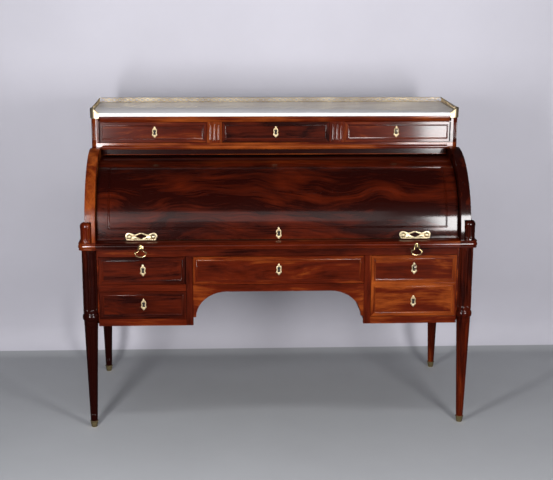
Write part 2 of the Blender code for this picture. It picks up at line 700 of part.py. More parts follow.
def make_slide():
    bottom = SLIDE_TOP - SLIDE_THICKNESS
    low = (-SLIDE_HALF, -HALF_DEPTH, bottom)
    slide = box("writing_slide", low, (SLIDE_HALF, SLIDE_BACK, SLIDE_TOP), MAHOGANY)
    front = -HALF_DEPTH + LEATHER_MARGIN
    back = front + LEATHER_DEPTH
    floor = SLIDE_TOP - LEATHER_THICKNESS
    cut(slide, box_mesh((-LEATHER_HALF_WIDTH, front, floor), (LEATHER_HALF_WIDTH, back, SLIDE_TOP + 0.01)))
    edge = LEATHER_HALF_WIDTH - GAP
    box("slide_leather", (-edge, front + GAP, floor + GAP), (edge, back - GAP, SLIDE_TOP), LEATHER)


def make_pull(side):
    """A knob on a rosette, bored through for the ends of its stirrup ring."""
    name = side_name(side)
    x = side * PULL_X
    face = -HALF_DEPTH - GAP
    tip = face - ROSETTE_THICKNESS - KNOB_LENGTH
    disc = peg_mesh((x, face, KNOB_Z), (x, face - ROSETTE_THICKNESS, KNOB_Z), ROSETTE_RADIUS, 20)
    rosette = place(f"pull_rosette_{name}", disc, BRASS)
    join(rosette, peg_mesh((x, face - ROSETTE_THICKNESS / 2, KNOB_Z), (x, tip, KNOB_Z), KNOB_RADIUS, 12))
    pivot = (x, tip + KNOB_RADIUS, KNOB_Z)
    reach = KNOB_RADIUS * 2
    bore = RING_WIRE_RADIUS + BAIL_CLEARANCE
    cut(rosette, peg_mesh((x - reach, *pivot[1:]), (x + reach, *pivot[1:]), bore, 12))
    bottom = KNOB_Z - RING_DROP
    turn = 0.012
    half = [(0.0015, 0.0), (KNOB_RADIUS + 0.004, 0.0), (RING_HALF_WIDTH - 0.004, -0.008)]
    half += arc((RING_HALF_WIDTH - turn, bottom - KNOB_Z + turn), turn, 0, -90, 4)
    path = [(x - across, pivot[1], KNOB_Z + down) for across, down in half]
    path += [(x + across, pivot[1], KNOB_Z + down) for across, down in reversed(half)]
    wire(f"pull_ring_{name}", path, RING_WIRE_RADIUS, BRASS, pivot)


def make_drawer(name, x_range, z_range, front, depth):
    """A flush front with a box behind it, open at the top and a little lower than the front."""
    (left, right), (bottom, top) = x_range, z_range
    rim = top - DRAWER_DROP
    back = front + depth
    panel = front + FRONT_THICKNESS
    points = [(front, bottom), (back, bottom), (back, rim), (panel, rim), (panel, top), (front, top)]
    drawer = outline(name, points, left, right, "X", MAHOGANY, ((left + right) / 2, front, bottom))
    cut(drawer, box_mesh((left + DRAWER_WALL, panel, bottom + DRAWER_FLOOR),
                         (right - DRAWER_WALL, back - DRAWER_WALL, top + 0.01)))
    return drawer


def make_key(name, drawer, x, z, front):
    """A round shank in its keyhole and a ring bow that stands edge on to the front."""
    bore = KEY_RADIUS + KEY_CLEARANCE
    cut(drawer, peg_mesh((x, front - bore, z), (x, front + KEY_DEPTH + bore, z), bore, 12))
    shoulder = front - KEY_LENGTH
    shank = peg_mesh((x, front + KEY_DEPTH, z), (x, shoulder, z), KEY_RADIUS, 12)
    key = place(name, shank, STEEL, (x, front, z))
    bow = bpy.data.meshes.new("bow")
    shape = bmesh.new()
    centre = shoulder - BOW_RADIUS + KEY_RADIUS / 2
    around, section = 20, 6
    rings = []
    for step in range(around):
        turn = 2 * pi * step / around
        ring = []
        for side in range(section):
            lean = 2 * pi * side / section
            reach = BOW_RADIUS + BOW_WIRE * cos(lean)
            point = (x + BOW_WIRE * sin(lean), centre + reach * cos(turn), z + reach * sin(turn))
            ring.append(shape.verts.new(point))
        rings.append(ring)
    for step in range(around):
        this, after = rings[step], rings[(step + 1) % around]
        for side in range(section):
            beside = (side + 1) % section
            shape.faces.new((this[side], this[beside], after[beside], after[side]))
    bmesh.ops.recalc_face_normals(shape, faces=shape.faces)
    shape.to_mesh(bow)
    shape.free()
    join(key, bow)


def make_lower_drawers():
    left, right = span(-1, PEDESTAL_X + SLIP, SIDE_X - SLIP)
    top = FRIEZE_BOTTOM - RUN
    floor = PEDESTAL_FLOOR + RUN
    depth = LOWER_DRAWER_DEPTH
    make_drawer("drawer_left_upper", (left, right), (DIVIDER_TOP + RUN, top), CASE_FRONT, depth)
    under = DIVIDER_TOP - DIVIDER_RAIL - RUN
    make_drawer("drawer_left_lower", (left, right), (floor, under), CASE_FRONT, depth)
    deep = make_drawer("drawer_right_deep", (-right, -left), (floor, top), CASE_FRONT, depth)
    make_key("key_right_pedestal", deep, -(left + right) / 2, LOWER_KEY_Z, CASE_FRONT)
    edge = KNEEHOLE_HALF - SLIP
    make_drawer("drawer_centre", (-edge, edge), (APRON_TOP + RUN, top), CASE_FRONT, depth)


def make_upper_box():
    """Floor with its bead and fascia, ends, fluted partitions, top, three drawers."""
    rear = BACK_FRONT - GAP
    corner = BOX_HALF - BOX_CORNER_RADIUS
    centre_y = BOX_FRONT + BOX_CORNER_RADIUS
    right_corner = arc((corner, centre_y), BOX_CORNER_RADIUS, -90, 0, 6)
    left_corner = arc((-corner, centre_y), BOX_CORNER_RADIUS, 180, 270, 6)
    points = left_corner + right_corner + [(BOX_HALF, rear), (-BOX_HALF, rear)]
    floor = outline("box_floor", points, BOX_FLOOR_BOTTOM, BOX_FLOOR_TOP, "Z", MAHOGANY)
    lap = 0.002
    join(floor, box_mesh((-BEAD_HALF_WIDTH, BOX_FRONT - BEAD_PROJECTION, BOX_FLOOR_BOTTOM + lap / 4),
                         (BEAD_HALF_WIDTH, BOX_FRONT + lap, BOX_FLOOR_BOTTOM + BEAD_HEIGHT)))
    fascia = BOX_FRONT + FASCIA_SETBACK
    join(floor, box_mesh((-BEAD_HALF_WIDTH + lap, fascia, BOX_FLOOR_BOTTOM - FASCIA_DROP),
                         (BEAD_HALF_WIDTH - lap, fascia + FASCIA_THICKNESS, BOX_FLOOR_BOTTOM + lap)))
    bottom = BOX_FLOOR_TOP + GAP
    for side in (-1, 1):
        post = [(BOX_INNER, BOX_FRONT)] + right_corner
        post += [(BOX_HALF, UPPER_BACK), (CHEEK_X, UPPER_BACK)]
        post += [(CHEEK_X, rear + GAP), (BOX_INNER, rear + GAP)]
        outline(f"box_side_{side_name(side)}", mirrored(post, side), bottom, BOX_TOP, "Z", MAHOGANY)
        half = FLUTED_STILE_WIDTH / 2
        web = BOX_PARTITION_THICKNESS / 2
        stile_back = BOX_FRONT + FRONT_THICKNESS
        tee = [(-half, BOX_FRONT), (half, BOX_FRONT), (half, stile_back), (web, stile_back),
               (web, rear), (-web, rear), (-web, stile_back), (-half, stile_back)]
        tee = [(across + side * FLUTED_STILE_CENTRE, up) for across, up in tee]
        top = BOX_TOP - BOX_TOP_THICKNESS - GAP
        outline(f"box_partition_{side_name(side)}", tee, bottom, top, "Z", MAHOGANY)
    edge = BOX_INNER - GAP
    box("box_top", (-edge, BOX_FRONT, BOX_TOP - BOX_TOP_THICKNESS), (edge, rear, BOX_TOP), MAHOGANY)
    drawer_z = (BOX_FLOOR_TOP + RUN, BOX_TOP - BOX_TOP_THICKNESS - SLIP)
    stile = FLUTED_STILE_CENTRE + FLUTED_STILE_WIDTH / 2 + SLIP
    inner = FLUTED_STILE_CENTRE - FLUTED_STILE_WIDTH / 2 - SLIP
    outer = BOX_INNER - SLIP
    depth = UPPER_DRAWER_DEPTH
    make_drawer("drawer_top_left", (-outer, -stile), drawer_z, BOX_FRONT, depth)
    make_drawer("drawer_top_centre", (-inner, inner), drawer_z, BOX_FRONT, depth)
    right = make_drawer("drawer_top_right", (stile, outer), drawer_z, BOX_FRONT, depth)
    make_key("key_top_right", right, UPPER_KEY_X, UPPER_KEY_Z, BOX_FRONT)


def front_corner(radius, start=-90, end=0):
    """Points round the right front corner of the upper part, at a radius about the corner's centre."""
    return arc((BOX_HALF - BOX_CORNER_RADIUS, BOX_FRONT + BOX_CORNER_RADIUS), radius, start, end, 6)


def make_top():
    """The marble slab and the brass gallery, whose thick front ends wrap the corners of the slab."""
    right = front_corner(BOX_CORNER_RADIUS)
    points = [(-across, up) for across, up in reversed(right)] + right
    points += [(BOX_HALF, UPPER_BACK), (-BOX_HALF, UPPER_BACK)]
    outline("marble_top", points, MARBLE_BOTTOM, MARBLE_TOP, "Z", MARBLE)
    far = BOX_CORNER_RADIUS + CORNER_PIECE_THICKNESS
    centre_y = BOX_FRONT + BOX_CORNER_RADIUS
    face = centre_y - far
    tip = BOX_HALF - CORNER_PIECE_WIDTH
    tail = BOX_FRONT + CORNER_PIECE_WIDTH
    inner = BOX_HALF - GALLERY_THICKNESS
    half = [(tip, face)] + front_corner(far)
    half += [(BOX_HALF + CORNER_PIECE_THICKNESS, tail), (BOX_HALF, tail), (BOX_HALF, UPPER_BACK)]
    hollow = [(inner, UPPER_BACK - GALLERY_THICKNESS)]
    hollow += front_corner(BOX_CORNER_RADIUS - GALLERY_THICKNESS, 0, -90)
    hollow += [(tip, BOX_FRONT + GALLERY_THICKNESS)]
    loop = half + [(-across, up) for across, up in reversed(half)]
    loop += [(-across, up) for across, up in reversed(hollow)] + hollow
    gallery = outline("gallery", loop, MARBLE_TOP + GAP, GALLERY_TOP, "Z", BRASS)
    trim = 0.0005
    for side in (-1, 1):
        wrap = [(tip + trim, face + trim)] + front_corner(far - trim)
        wrap += [(BOX_HALF + CORNER_PIECE_THICKNESS - trim, tail - trim), (BOX_HALF + GAP, tail - trim)]
        wrap += front_corner(BOX_CORNER_RADIUS + GAP, 0, -90) + [(tip + trim, BOX_FRONT - GAP)]
        foot = BOX_TOP - CORNER_PIECE_DROP
        join(gallery, outline_mesh(mirrored(wrap, side), foot, MARBLE_TOP + GALLERY_HEIGHT / 2, "Z"))
        reach = GALLERY_HEIGHT / 2
        slope = [(tip - reach, MARBLE_TOP + CORNER_TIP_RISE), (tip, MARBLE_TOP + CORNER_TIP_RISE)]
        start = BOX_HALF - CORNER_SLOPE_START
        slope += [(start, GALLERY_TOP), (start, GALLERY_TOP + reach)]
        slope += [(tip - reach, GALLERY_TOP + reach)]
        cut(gallery, outline_mesh(mirrored(slope, side), face - reach, BOX_FRONT + reach, "Y"))


def smooth_shading():
    for obj in PARTS.objects:
        if obj.type == "MESH" and obj.data.polygons:
            obj.data.shade_smooth()
            obj.data.set_sharp_from_angle(angle=radians(35))


make_case()
make_nest()
make_fall()
make_slide()
for hand_side in (-1, 1):
    make_fall_handle(hand_side)
    make_pull(hand_side)
make_lower_drawers()
make_upper_box()
make_top()
smooth_shading()
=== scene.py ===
"""Finished surfaces of a marble-topped cylinder desk: polished mahogany, gilt brass and marble.

The packed desk is loaded as a fixed frame and each piece is made to fit its boxes. Metres, +Z up.
"""

import json
from math import asin, cos, pi, radians, sin

import bmesh
import bpy
import numpy as np
from mathutils import Matrix, Vector


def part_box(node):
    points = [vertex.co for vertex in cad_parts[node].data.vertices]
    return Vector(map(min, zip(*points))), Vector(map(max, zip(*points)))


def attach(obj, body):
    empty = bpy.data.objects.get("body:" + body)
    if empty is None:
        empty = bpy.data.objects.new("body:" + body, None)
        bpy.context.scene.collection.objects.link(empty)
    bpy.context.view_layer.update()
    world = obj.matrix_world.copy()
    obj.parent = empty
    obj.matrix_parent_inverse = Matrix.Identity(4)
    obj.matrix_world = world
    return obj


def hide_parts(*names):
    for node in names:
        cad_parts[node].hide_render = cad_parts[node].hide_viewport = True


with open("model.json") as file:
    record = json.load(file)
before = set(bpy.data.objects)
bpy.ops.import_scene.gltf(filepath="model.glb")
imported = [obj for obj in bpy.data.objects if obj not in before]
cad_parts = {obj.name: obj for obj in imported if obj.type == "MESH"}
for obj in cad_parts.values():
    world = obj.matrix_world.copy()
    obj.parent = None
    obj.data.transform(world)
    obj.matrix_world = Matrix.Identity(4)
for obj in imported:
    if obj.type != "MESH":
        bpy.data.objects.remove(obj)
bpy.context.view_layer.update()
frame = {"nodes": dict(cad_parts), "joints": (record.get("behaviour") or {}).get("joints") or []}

bl_info = {
    "name": "Cylinder Desk",
    "version": (1, 0, 0),
    "blender": (4, 5, 0),
    "location": "3D View > Sidebar > Desk",
    "description": "Makes the finished surfaces of a marble-topped cylinder desk",
    "category": "Add Mesh",
}

SIDES = (("left", -1), ("right", 1))
ENDS = (("front", -1), ("rear", 1))

GAP = 0.0003  # between pieces that touch
RING_RISE = 0.023  # of a column's ring over the underside of the case
RING_HEIGHT = 0.028
RING_PROJECTION = 0.0035
FALL_THICKNESS = 0.018
PAST_UPRIGHT = 4.0  # degrees that the fall goes on past the top of its arc
DRAWER_FRONT = 0.020
DRAWER_WALL = 0.010
DRAWER_FLOOR = 0.008
DRAWER_DROP = 0.012  # the sides stop this much below the top of the front
DRAWER_BORDER = 0.0105  # flat border outside the bead
BOX_CORNER = 0.0205  # corner radius of the upper box and of the marble
FLOOR_THICKNESS = 0.027  # of the upper box
BEAD_HALF_LENGTH = 0.705
BEAD_HEIGHT = 0.018
FASCIA_SETBACK = 0.007
FASCIA_THICKNESS = 0.016
STILE_FRONT = 0.020  # thickness of a fluted stile in front of its partition
GALLERY_END = 0.033  # length of a corner piece on each side of the corner
GALLERY_LEVEL = 0.010  # length at the end of the case where its top is level
GALLERY_TIP = 0.0016  # height of its front tip over the slab


def box_of(node):
    """Lowest and highest corner of a packed node, as arrays."""
    low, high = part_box(node)
    return np.array(low), np.array(high)


def middle_of(node):
    """Centre of a packed node's box."""
    low, high = box_of(node)
    return (low + high) / 2


def fall_axis():
    """(y, z) of the line that the fall turns about."""
    joint = next(joint for joint in frame["joints"] if joint["name"] == "fall_hinge")
    return joint["pos_m"][1], joint["pos_m"][2]


# ---------------------------------------------------------------- surfaces


def quads(rows, columns, wrap_rows=False, wrap_columns=False):
    """Four-sided faces over points numbered row by row: (r, c), (r, c+1), (r+1, c+1), (r+1, c)."""
    row = np.arange(rows if wrap_rows else rows - 1)[:, None]
    column = np.arange(columns if wrap_columns else columns - 1)[None, :]
    next_row, next_column = (row + 1) % rows, (column + 1) % columns
    corners = [row * columns + column, row * columns + next_column,
               next_row * columns + next_column, next_row * columns + column]
    return np.stack(np.broadcast_arrays(*corners), -1).reshape(-1, 4).tolist()


def rectangle(x0, y0, x1, y1):
    """Corners in order: (x0, y0), (x1, y0), (x1, y1), (x0, y1)."""
    return np.array([(x0, y0), (x1, y0), (x1, y1), (x0, y1)])


def stack(outlines, heights, axis="Z"):
    """A solid through closed outlines: point (k, i) is outline k's point i at height k along the axis.
    The first and last outline are closed with a flat face."""
    outlines = np.asarray(outlines, float)
    count, around = outlines.shape[:2]
    height = np.broadcast_to(np.asarray(heights, float)[:, None], (count, around))
    first, second = outlines[..., 0], outlines[..., 1]
    order = {"Z": (first, second, height), "X": (height, first, second), "Y": (first, height, second)}[axis]
    points = np.stack(order, -1).reshape(-1, 3)
    faces = quads(count, around, wrap_columns=True)
    faces.append(list(range(around)))
    faces.append(list(range((count - 1) * around, count * around)))
    return points, faces


def turned(centre, heights, radius):
    """A round solid: point (k, i) is centre + radius[k, i] (cos a, sin a) at height k, a = 2 pi i / n."""
    radius = np.atleast_2d(np.asarray(radius, float))
    if radius.shape[0] != len(heights):
        radius = radius.T
    around = max(radius.shape[1], 48)
    radius = np.broadcast_to(radius, (len(heights), around))
    angle = 2 * pi * np.arange(around) / around
    outlines = np.stack([centre[0] + radius * np.cos(angle), centre[1] + radius * np.sin(angle)], -1)
    return stack(outlines, heights)


def tube(path, radius, normal, closed=False, sides=10):
    """A round wire along a flat path: each point carries a circle spanned by the path's plane normal
    and by the normal's cross product with the path's direction. The ends are closed with flat faces."""
    path = np.asarray(path, float)
    normal = np.asarray(normal, float)
    if closed:
        direction = np.roll(path, -1, 0) - np.roll(path, 1, 0)
    else:
        direction = np.gradient(path, axis=0)
    direction /= np.linalg.norm(direction, axis=1)[:, None]
    side = np.cross(direction, normal)
    angle = 2 * pi * np.arange(sides) / sides
    ring = side[:, None] * np.cos(angle)[None, :, None] + normal * np.sin(angle)[None, :, None]
    radius = np.broadcast_to(np.asarray(radius, float).reshape(-1, 1, 1), (len(path), 1, 1))
    points = (path[:, None] + ring * radius).reshape(-1, 3)
    faces = quads(len(path), sides, wrap_rows=closed, wrap_columns=True)
    if not closed:
        faces.append(list(range(sides)))
        faces.append(list(range((len(path) - 1) * sides, len(path) * sides)))
    return points, faces


def rings(low, high, front, profile):
    """A board seen from the front (-Y): each profile step (inset, depth, ...) is a rectangle inset from
    the board's edges, at y = front + depth. The first and last rectangle are closed with flat faces."""
    inset, depth = np.array(profile, float).T
    x0, x1 = low[0] + inset, high[0] - inset
    z0, z1 = low[1] + inset, high[1] - inset
    outlines = np.stack([np.stack([x0, z0], -1), np.stack([x1, z0], -1), np.stack([x1, z1], -1),
                         np.stack([x0, z1], -1)], 1)
    return stack(outlines, front + depth, "Y")


def brick(low, high, ease=0.0006):
    """A board with eased edges: rectangles stacked in Z, inset at the first and last."""
    low, high = np.asarray(low, float), np.asarray(high, float)
    inset = np.array([ease, 0.0, 0.0, ease])
    height = [low[2], low[2] + ease, high[2] - ease, high[2]]
    x0, x1, y0, y1 = low[0] + inset, high[0] - inset, low[1] + inset, high[1] - inset
    outlines = np.stack([np.stack([x0, y0], -1), np.stack([x1, y0], -1), np.stack([x1, y1], -1),
                         np.stack([x0, y1], -1)], 1)
    return stack(outlines, height)


def plate(outer, inner, front, thickness, rise):
    """A pierced brass plate facing -Y: a closed band between an outer and an inner outline with matching
    points. It rises from the edges to the middle by a quarter wave: depth = thickness + rise sin(pi s)."""
    outer, inner = np.asarray(outer, float), np.asarray(inner, float)
    share = np.array([0.0, 0.0, 0.12, 0.3, 0.5, 0.7, 0.88, 1.0, 1.0])
    depth = np.array([0.0, 0.6, 1.0, 1.0, 1.0, 1.0, 1.0, 0.6, 0.0]) * thickness
    depth[2:7] += rise * np.sin(pi * share[2:7])
    flat = outer[None] * (1 - share)[:, None, None] + inner[None] * share[:, None, None]
    points = np.stack([flat[..., 0], np.broadcast_to((front - depth)[:, None], flat.shape[:2]),
                       flat[..., 1]], -1)
    return points.reshape(-1, 3), quads(len(share), len(outer), wrap_rows=True, wrap_columns=True)


def ball(centre, radii, rows=10, columns=20):
    """An ellipsoid: centre + radii (cos b cos a, cos b sin a, sin b), its poles cut at b = 87 degrees."""
    b = np.radians(np.linspace(-87, 87, rows))[:, None]
    a = (2 * pi * np.arange(columns) / columns)[None]
    parts = [np.cos(b) * np.cos(a), np.cos(b) * np.sin(a), np.sin(b) + 0 * a]
    points = np.stack(parts, -1) * np.asarray(radii) + np.asarray(centre)
    faces = quads(rows, columns, wrap_columns=True)
    faces.append(list(range(columns)))
    faces.append(list(range((rows - 1) * columns, rows * columns)))
    return points.reshape(-1, 3), faces


def arc(centre, radius, start, end, count):
    """Points (centre + radius (cos a, sin a)) for a from start to end, in degrees."""
    angle = np.radians(np.linspace(start, end, count))
    return np.stack([centre[0] + radius * np.cos(angle), centre[1] + radius * np.sin(angle)], -1)


def finish_piece(name, parts, materials, body, replaces=(), sharp=38.0, bevel=0.0):
    """Puts parts (points, faces[, material number]) into one mesh, turns its faces outwards and makes it
    ride on its body."""
    points, faces, numbers, start = [], [], [], 0
    for part in parts:
        points.append(part[0])
        faces.extend([[corner + start for corner in face] for face in part[1]])
        number = part[2] if len(part) > 2 else 0
        numbers.extend(number if isinstance(number, list) else [number] * len(part[1]))
        start += len(part[0])
    mesh = bpy.data.meshes.new(name)
    mesh.from_pydata(np.concatenate(points).tolist(), [], faces)
    mesh.polygons.foreach_set("material_index", numbers)
    for material in materials:
        mesh.materials.append(material)
    return settle(name, mesh, body, replaces, sharp, bevel)


def settle(name, mesh, body, replaces, sharp, bevel):
    """Merges double points, turns the faces outwards, shades them, and hands the piece to the frame."""
    shape = bmesh.new()
    shape.from_mesh(mesh)
    bmesh.ops.remove_doubles(shape, verts=shape.verts, dist=1e-6)
    bmesh.ops.recalc_face_normals(shape, faces=shape.faces)
    shape.to_mesh(mesh)
    shape.free()
    mesh.shade_smooth()
    mesh.set_sharp_from_angle(angle=radians(sharp))
    piece = bpy.data.objects.new(name, mesh)
    bpy.context.scene.collection.objects.link(piece)
    if bevel:
        rounding = piece.modifiers.new("eased edges", "BEVEL")
        rounding.width = bevel
        rounding.segments = 2
        rounding.limit_method = "ANGLE"
        rounding.angle_limit = radians(40)
        rounding.harden_normals = True
    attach(piece, body)
    if replaces:
        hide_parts(*([replaces] if isinstance(replaces, str) else replaces))
    return piece


def eased(node, materials, body="case", width=0.0008, choose=None):
    """A packed board with its edges eased: a merged copy of its mesh, rounded by a Bevel."""
    source = frame["nodes"][node].data
    shape = bmesh.new()
    shape.from_mesh(source)
    bmesh.ops.remove_doubles(shape, verts=shape.verts, dist=1e-5)
    bmesh.ops.dissolve_limit(shape, angle_limit=radians(1), verts=shape.verts, edges=shape.edges)
    mesh = bpy.data.meshes.new(node + "_board")
    shape.to_mesh(mesh)
    shape.free()
    for material in materials:
        mesh.materials.append(material)
    mesh.polygons.foreach_set("material_index", [0] * len(mesh.polygons))
    if choose:
        mesh.polygons.foreach_set("material_index",
                                  [choose(face.center, face.normal) for face in mesh.polygons])
    return settle(node + "_board", mesh, body, node, 38.0, width)


# ---------------------------------------------------------------- materials


def new_group(name, inputs, outputs):
    """A node group with sockets (label, kind, default) and its two end nodes."""
    group = bpy.data.node_groups.new(name, "ShaderNodeTree")
    for label, kind, default in inputs:
        socket = group.interface.new_socket(label, in_out="INPUT", socket_type=kind)
        if default is not None:
            socket.default_value = default
    for label, kind in outputs:
        group.interface.new_socket(label, in_out="OUTPUT", socket_type=kind)
    return group, group.nodes.new("NodeGroupInput"), group.nodes.new("NodeGroupOutput")


class Wires:
    """Short ways to add and join shader nodes in one tree."""

    def __init__(self, tree):
        self.tree = tree

    def link(self, source, target):
        self.tree.links.new(source, target)

    def put(self, socket, value):
        if isinstance(value, bpy.types.NodeSocket):
            self.link(value, socket)
        else:
            socket.default_value = value

    def math(self, operation, first, second, clamp=False):
        node = self.tree.nodes.new("ShaderNodeMath")
        node.operation = operation
        node.use_clamp = clamp
        self.put(node.inputs[0], first)
        self.put(node.inputs[1], second)
        return node.outputs[0]

    def vector(self, operation, first, second):
        node = self.tree.nodes.new("ShaderNodeVectorMath")
        node.operation = operation
        self.put(node.inputs[0], first)
        self.put(node.inputs[1], second)
        return node.outputs[0]

    def noise(self, vector, scale=1.0, detail=4.0, roughness=0.55, distortion=0.0):
        node = self.tree.nodes.new("ShaderNodeTexNoise")
        self.put(node.inputs["Vector"], vector)
        node.inputs["Scale"].default_value = scale
        node.inputs["Detail"].default_value = detail
        node.inputs["Roughness"].default_value = roughness
        node.inputs["Distortion"].default_value = distortion
        return node.outputs["Fac"]

    def spread(self, value, low, high, to_low=0.0, to_high=1.0):
        node = self.tree.nodes.new("ShaderNodeMapRange")
        self.put(node.inputs["Value"], value)
        node.inputs["From Min"].default_value = low
        node.inputs["From Max"].default_value = high
        node.inputs["To Min"].default_value = to_low
        node.inputs["To Max"].default_value = to_high
        return node.outputs["Result"]

    def mix(self, share, first, second):
        node = self.tree.nodes.new("ShaderNodeMix")
        node.data_type = "RGBA"
        self.put(node.inputs["Factor"], share)
        self.put(node.inputs["A"], first)
        self.put(node.inputs["B"], second)
        return node.outputs["Result"]

    def feed(self, shader, **inputs):
        for label, value in inputs.items():
            self.put(shader.inputs[label.replace("_", " ")], value)

    def group(self, group, **inputs):
        node = self.tree.nodes.new("ShaderNodeGroup")
        node.node_tree = group
        self.feed(node, **inputs)
        return node

    def bump(self, height, strength, distance):
        node = self.tree.nodes.new("ShaderNodeBump")
        node.inputs["Strength"].default_value = strength
        node.inputs["Distance"].default_value = distance
        self.link(height, node.inputs["Height"])
        return node.outputs["Normal"]


def four(colour):
    """A colour with full alpha."""
    return (*colour[:3], 1.0)


def wood_figure_group():
    """Streaks, fibres and pores along X, bent by a slow wave. Colour runs dark, mid, light."""
    group, start, end = new_group(
        "wood_figure",
        [("Vector", "NodeSocketVector", None), ("Dark", "NodeSocketColor", (0.03, 0.005, 0.002, 1)),
         ("Mid", "NodeSocketColor", (0.10, 0.02, 0.006, 1)),
         ("Light", "NodeSocketColor", (0.3, 0.09, 0.02, 1)),
         ("Tone", "NodeSocketFloat", 0.0), ("Figure", "NodeSocketFloat", 1.0)],
        [("Color", "NodeSocketColor"), ("Roughness", "NodeSocketFloat"), ("Height", "NodeSocketFloat")])
    wires = Wires(group)
    place = start.outputs["Vector"]
    wave = wires.noise(wires.vector("MULTIPLY", place, (2.2, 3.5, 3.5)), detail=2.0)
    offset = wires.math("MULTIPLY", wires.math("SUBTRACT", wave, 0.5), start.outputs["Figure"])
    bend = group.nodes.new("ShaderNodeCombineXYZ")
    wires.link(wires.math("MULTIPLY", offset, 0.10), bend.inputs["Y"])
    wires.link(wires.math("MULTIPLY", offset, 0.10), bend.inputs["Z"])
    bent = wires.vector("ADD", place, bend.outputs["Vector"])
    streak = wires.noise(wires.vector("MULTIPLY", bent, (1.5, 17.0, 17.0)), detail=5.0, roughness=0.6,
                         distortion=0.6)
    flame = wires.noise(wires.vector("MULTIPLY", bent, (3.2, 6.5, 6.5)), detail=3.0, roughness=0.5,
                        distortion=1.4)
    fibre = wires.noise(wires.vector("MULTIPLY", bent, (9.0, 190.0, 190.0)), detail=3.0)
    pore = wires.noise(wires.vector("MULTIPLY", bent, (38.0, 1100.0, 1100.0)), detail=1.0)
    share = wires.math("ADD", wires.math("MULTIPLY", streak, 0.62), wires.math("MULTIPLY", flame, 0.38))
    share = wires.math("ADD", wires.spread(share, 0.29, 0.71), start.outputs["Tone"])
    share = wires.math("ADD", share, wires.spread(fibre, 0.3, 0.7, -0.11, 0.11), clamp=True)
    lower = wires.mix(wires.spread(share, 0.0, 0.5), start.outputs["Dark"], start.outputs["Mid"])
    colour = wires.mix(wires.spread(share, 0.5, 1.0), lower, start.outputs["Light"])
    open_pore = wires.spread(pore, 0.62, 0.72)
    colour = wires.mix(wires.math("MULTIPLY", open_pore, 0.45), colour, start.outputs["Dark"])
    wires.link(colour, end.inputs["Color"])
    wires.link(wires.spread(fibre, 0.3, 0.7, 0.26, 0.40), end.inputs["Roughness"])
    wires.link(wires.math("SUBTRACT", wires.math("MULTIPLY", fibre, 0.4), open_pore), end.inputs["Height"])
    return group


def handling_group():
    """Slow and fine blotches that stand for haze, rubbing and tarnish: 0 clean, 1 dulled."""
    group, start, end = new_group(
        "handling",
        [("Vector", "NodeSocketVector", None), ("Amount", "NodeSocketFloat", 1.0)],
        [("Mask", "NodeSocketFloat")])
    wires = Wires(group)
    slow = wires.noise(start.outputs["Vector"], scale=9.0, detail=6.0, roughness=0.65)
    fine = wires.noise(start.outputs["Vector"], scale=160.0, detail=2.0)
    mask = wires.math("ADD", wires.math("MULTIPLY", slow, 0.75), wires.math("MULTIPLY", fine, 0.25))
    wires.link(wires.math("MULTIPLY", wires.spread(mask, 0.38, 0.66), start.outputs["Amount"]),
               end.inputs["Mask"])
    return group


GROUPS = {}


def group_of(name):
    """The node group of that name, made at its first use."""
    if name not in GROUPS:
        GROUPS[name] = {"wood_figure": wood_figure_group, "handling": handling_group}[name]()
    return GROUPS[name]


def new_shader(name):
    """A material with a Principled shader, and a mapping of Object coordinates."""
    material = bpy.data.materials.new(name)
    material.use_nodes = True
    tree = material.node_tree
    shader = tree.nodes["Principled BSDF"]
    coordinates = tree.nodes.new("ShaderNodeTexCoord")
    mapping = tree.nodes.new("ShaderNodeMapping")
    tree.links.new(coordinates.outputs["Object"], mapping.inputs["Vector"])
    return material, Wires(tree), shader, mapping


TURNS = {"X": (0.0, 0.0, 0.0), "Y": (0.0, 0.0, -pi / 2), "Z": (0.0, pi / 2, 0.0)}


def mahogany(grain, tone, figure, seed):
    """French-polished mahogany with its grain along one axis. A tone above 0 is paler, below 0 darker."""
    name = f"mahogany_{grain}_{tone:+.2f}_{figure:.1f}_{seed:.0f}"
    if name in bpy.data.materials:
        return bpy.data.materials[name]
    look = bpy.context.scene.desk
    material, wires, shader, mapping = new_shader(name)
    mapping.inputs["Rotation"].default_value = TURNS[grain]
    mapping.inputs["Location"].default_value = (seed * 0.73, seed * 0.41, seed * 0.57)
    place = mapping.outputs["Vector"]
    wood = wires.group(group_of("wood_figure"), Vector=place, Dark=four(look.mahogany_dark),
                       Mid=four(look.mahogany_mid),
                       Light=four(look.mahogany_light), Tone=tone, Figure=figure)
    haze = wires.group(group_of("handling"), Vector=place, Amount=0.5)
    roughness = wires.math("ADD", wood.outputs["Roughness"],
                           wires.math("MULTIPLY", haze.outputs["Mask"], 0.10))
    wires.feed(shader, Base_Color=wood.outputs["Color"], Roughness=roughness,
               Normal=wires.bump(wood.outputs["Height"], 0.12, 0.0004))
    wires.feed(shader, Specular_IOR_Level=0.05, Coat_Weight=0.75, Coat_Roughness=0.11, Coat_IOR=1.48)
    return material


def bare_wood(grain, seed):
    """Unpolished drawer lining, paler and dull."""
    name = f"drawer_lining_{grain}_{seed:.0f}"
    if name in bpy.data.materials:
        return bpy.data.materials[name]
    material, wires, shader, mapping = new_shader(name)
    mapping.inputs["Rotation"].default_value = TURNS[grain]
    mapping.inputs["Location"].default_value = (seed * 0.3, seed, seed * 0.7)
    wood = wires.group(group_of("wood_figure"), Vector=mapping.outputs["Vector"],
                       Dark=(0.16, 0.085, 0.04, 1),
                       Mid=(0.33, 0.20, 0.10, 1), Light=(0.46, 0.31, 0.17, 1), Tone=0.0, Figure=0.6)
    wires.feed(shader, Base_Color=wood.outputs["Color"],
               Roughness=wires.math("ADD", wood.outputs["Roughness"], 0.25),
               Normal=wires.bump(wood.outputs["Height"], 0.35, 0.0006))
    return material


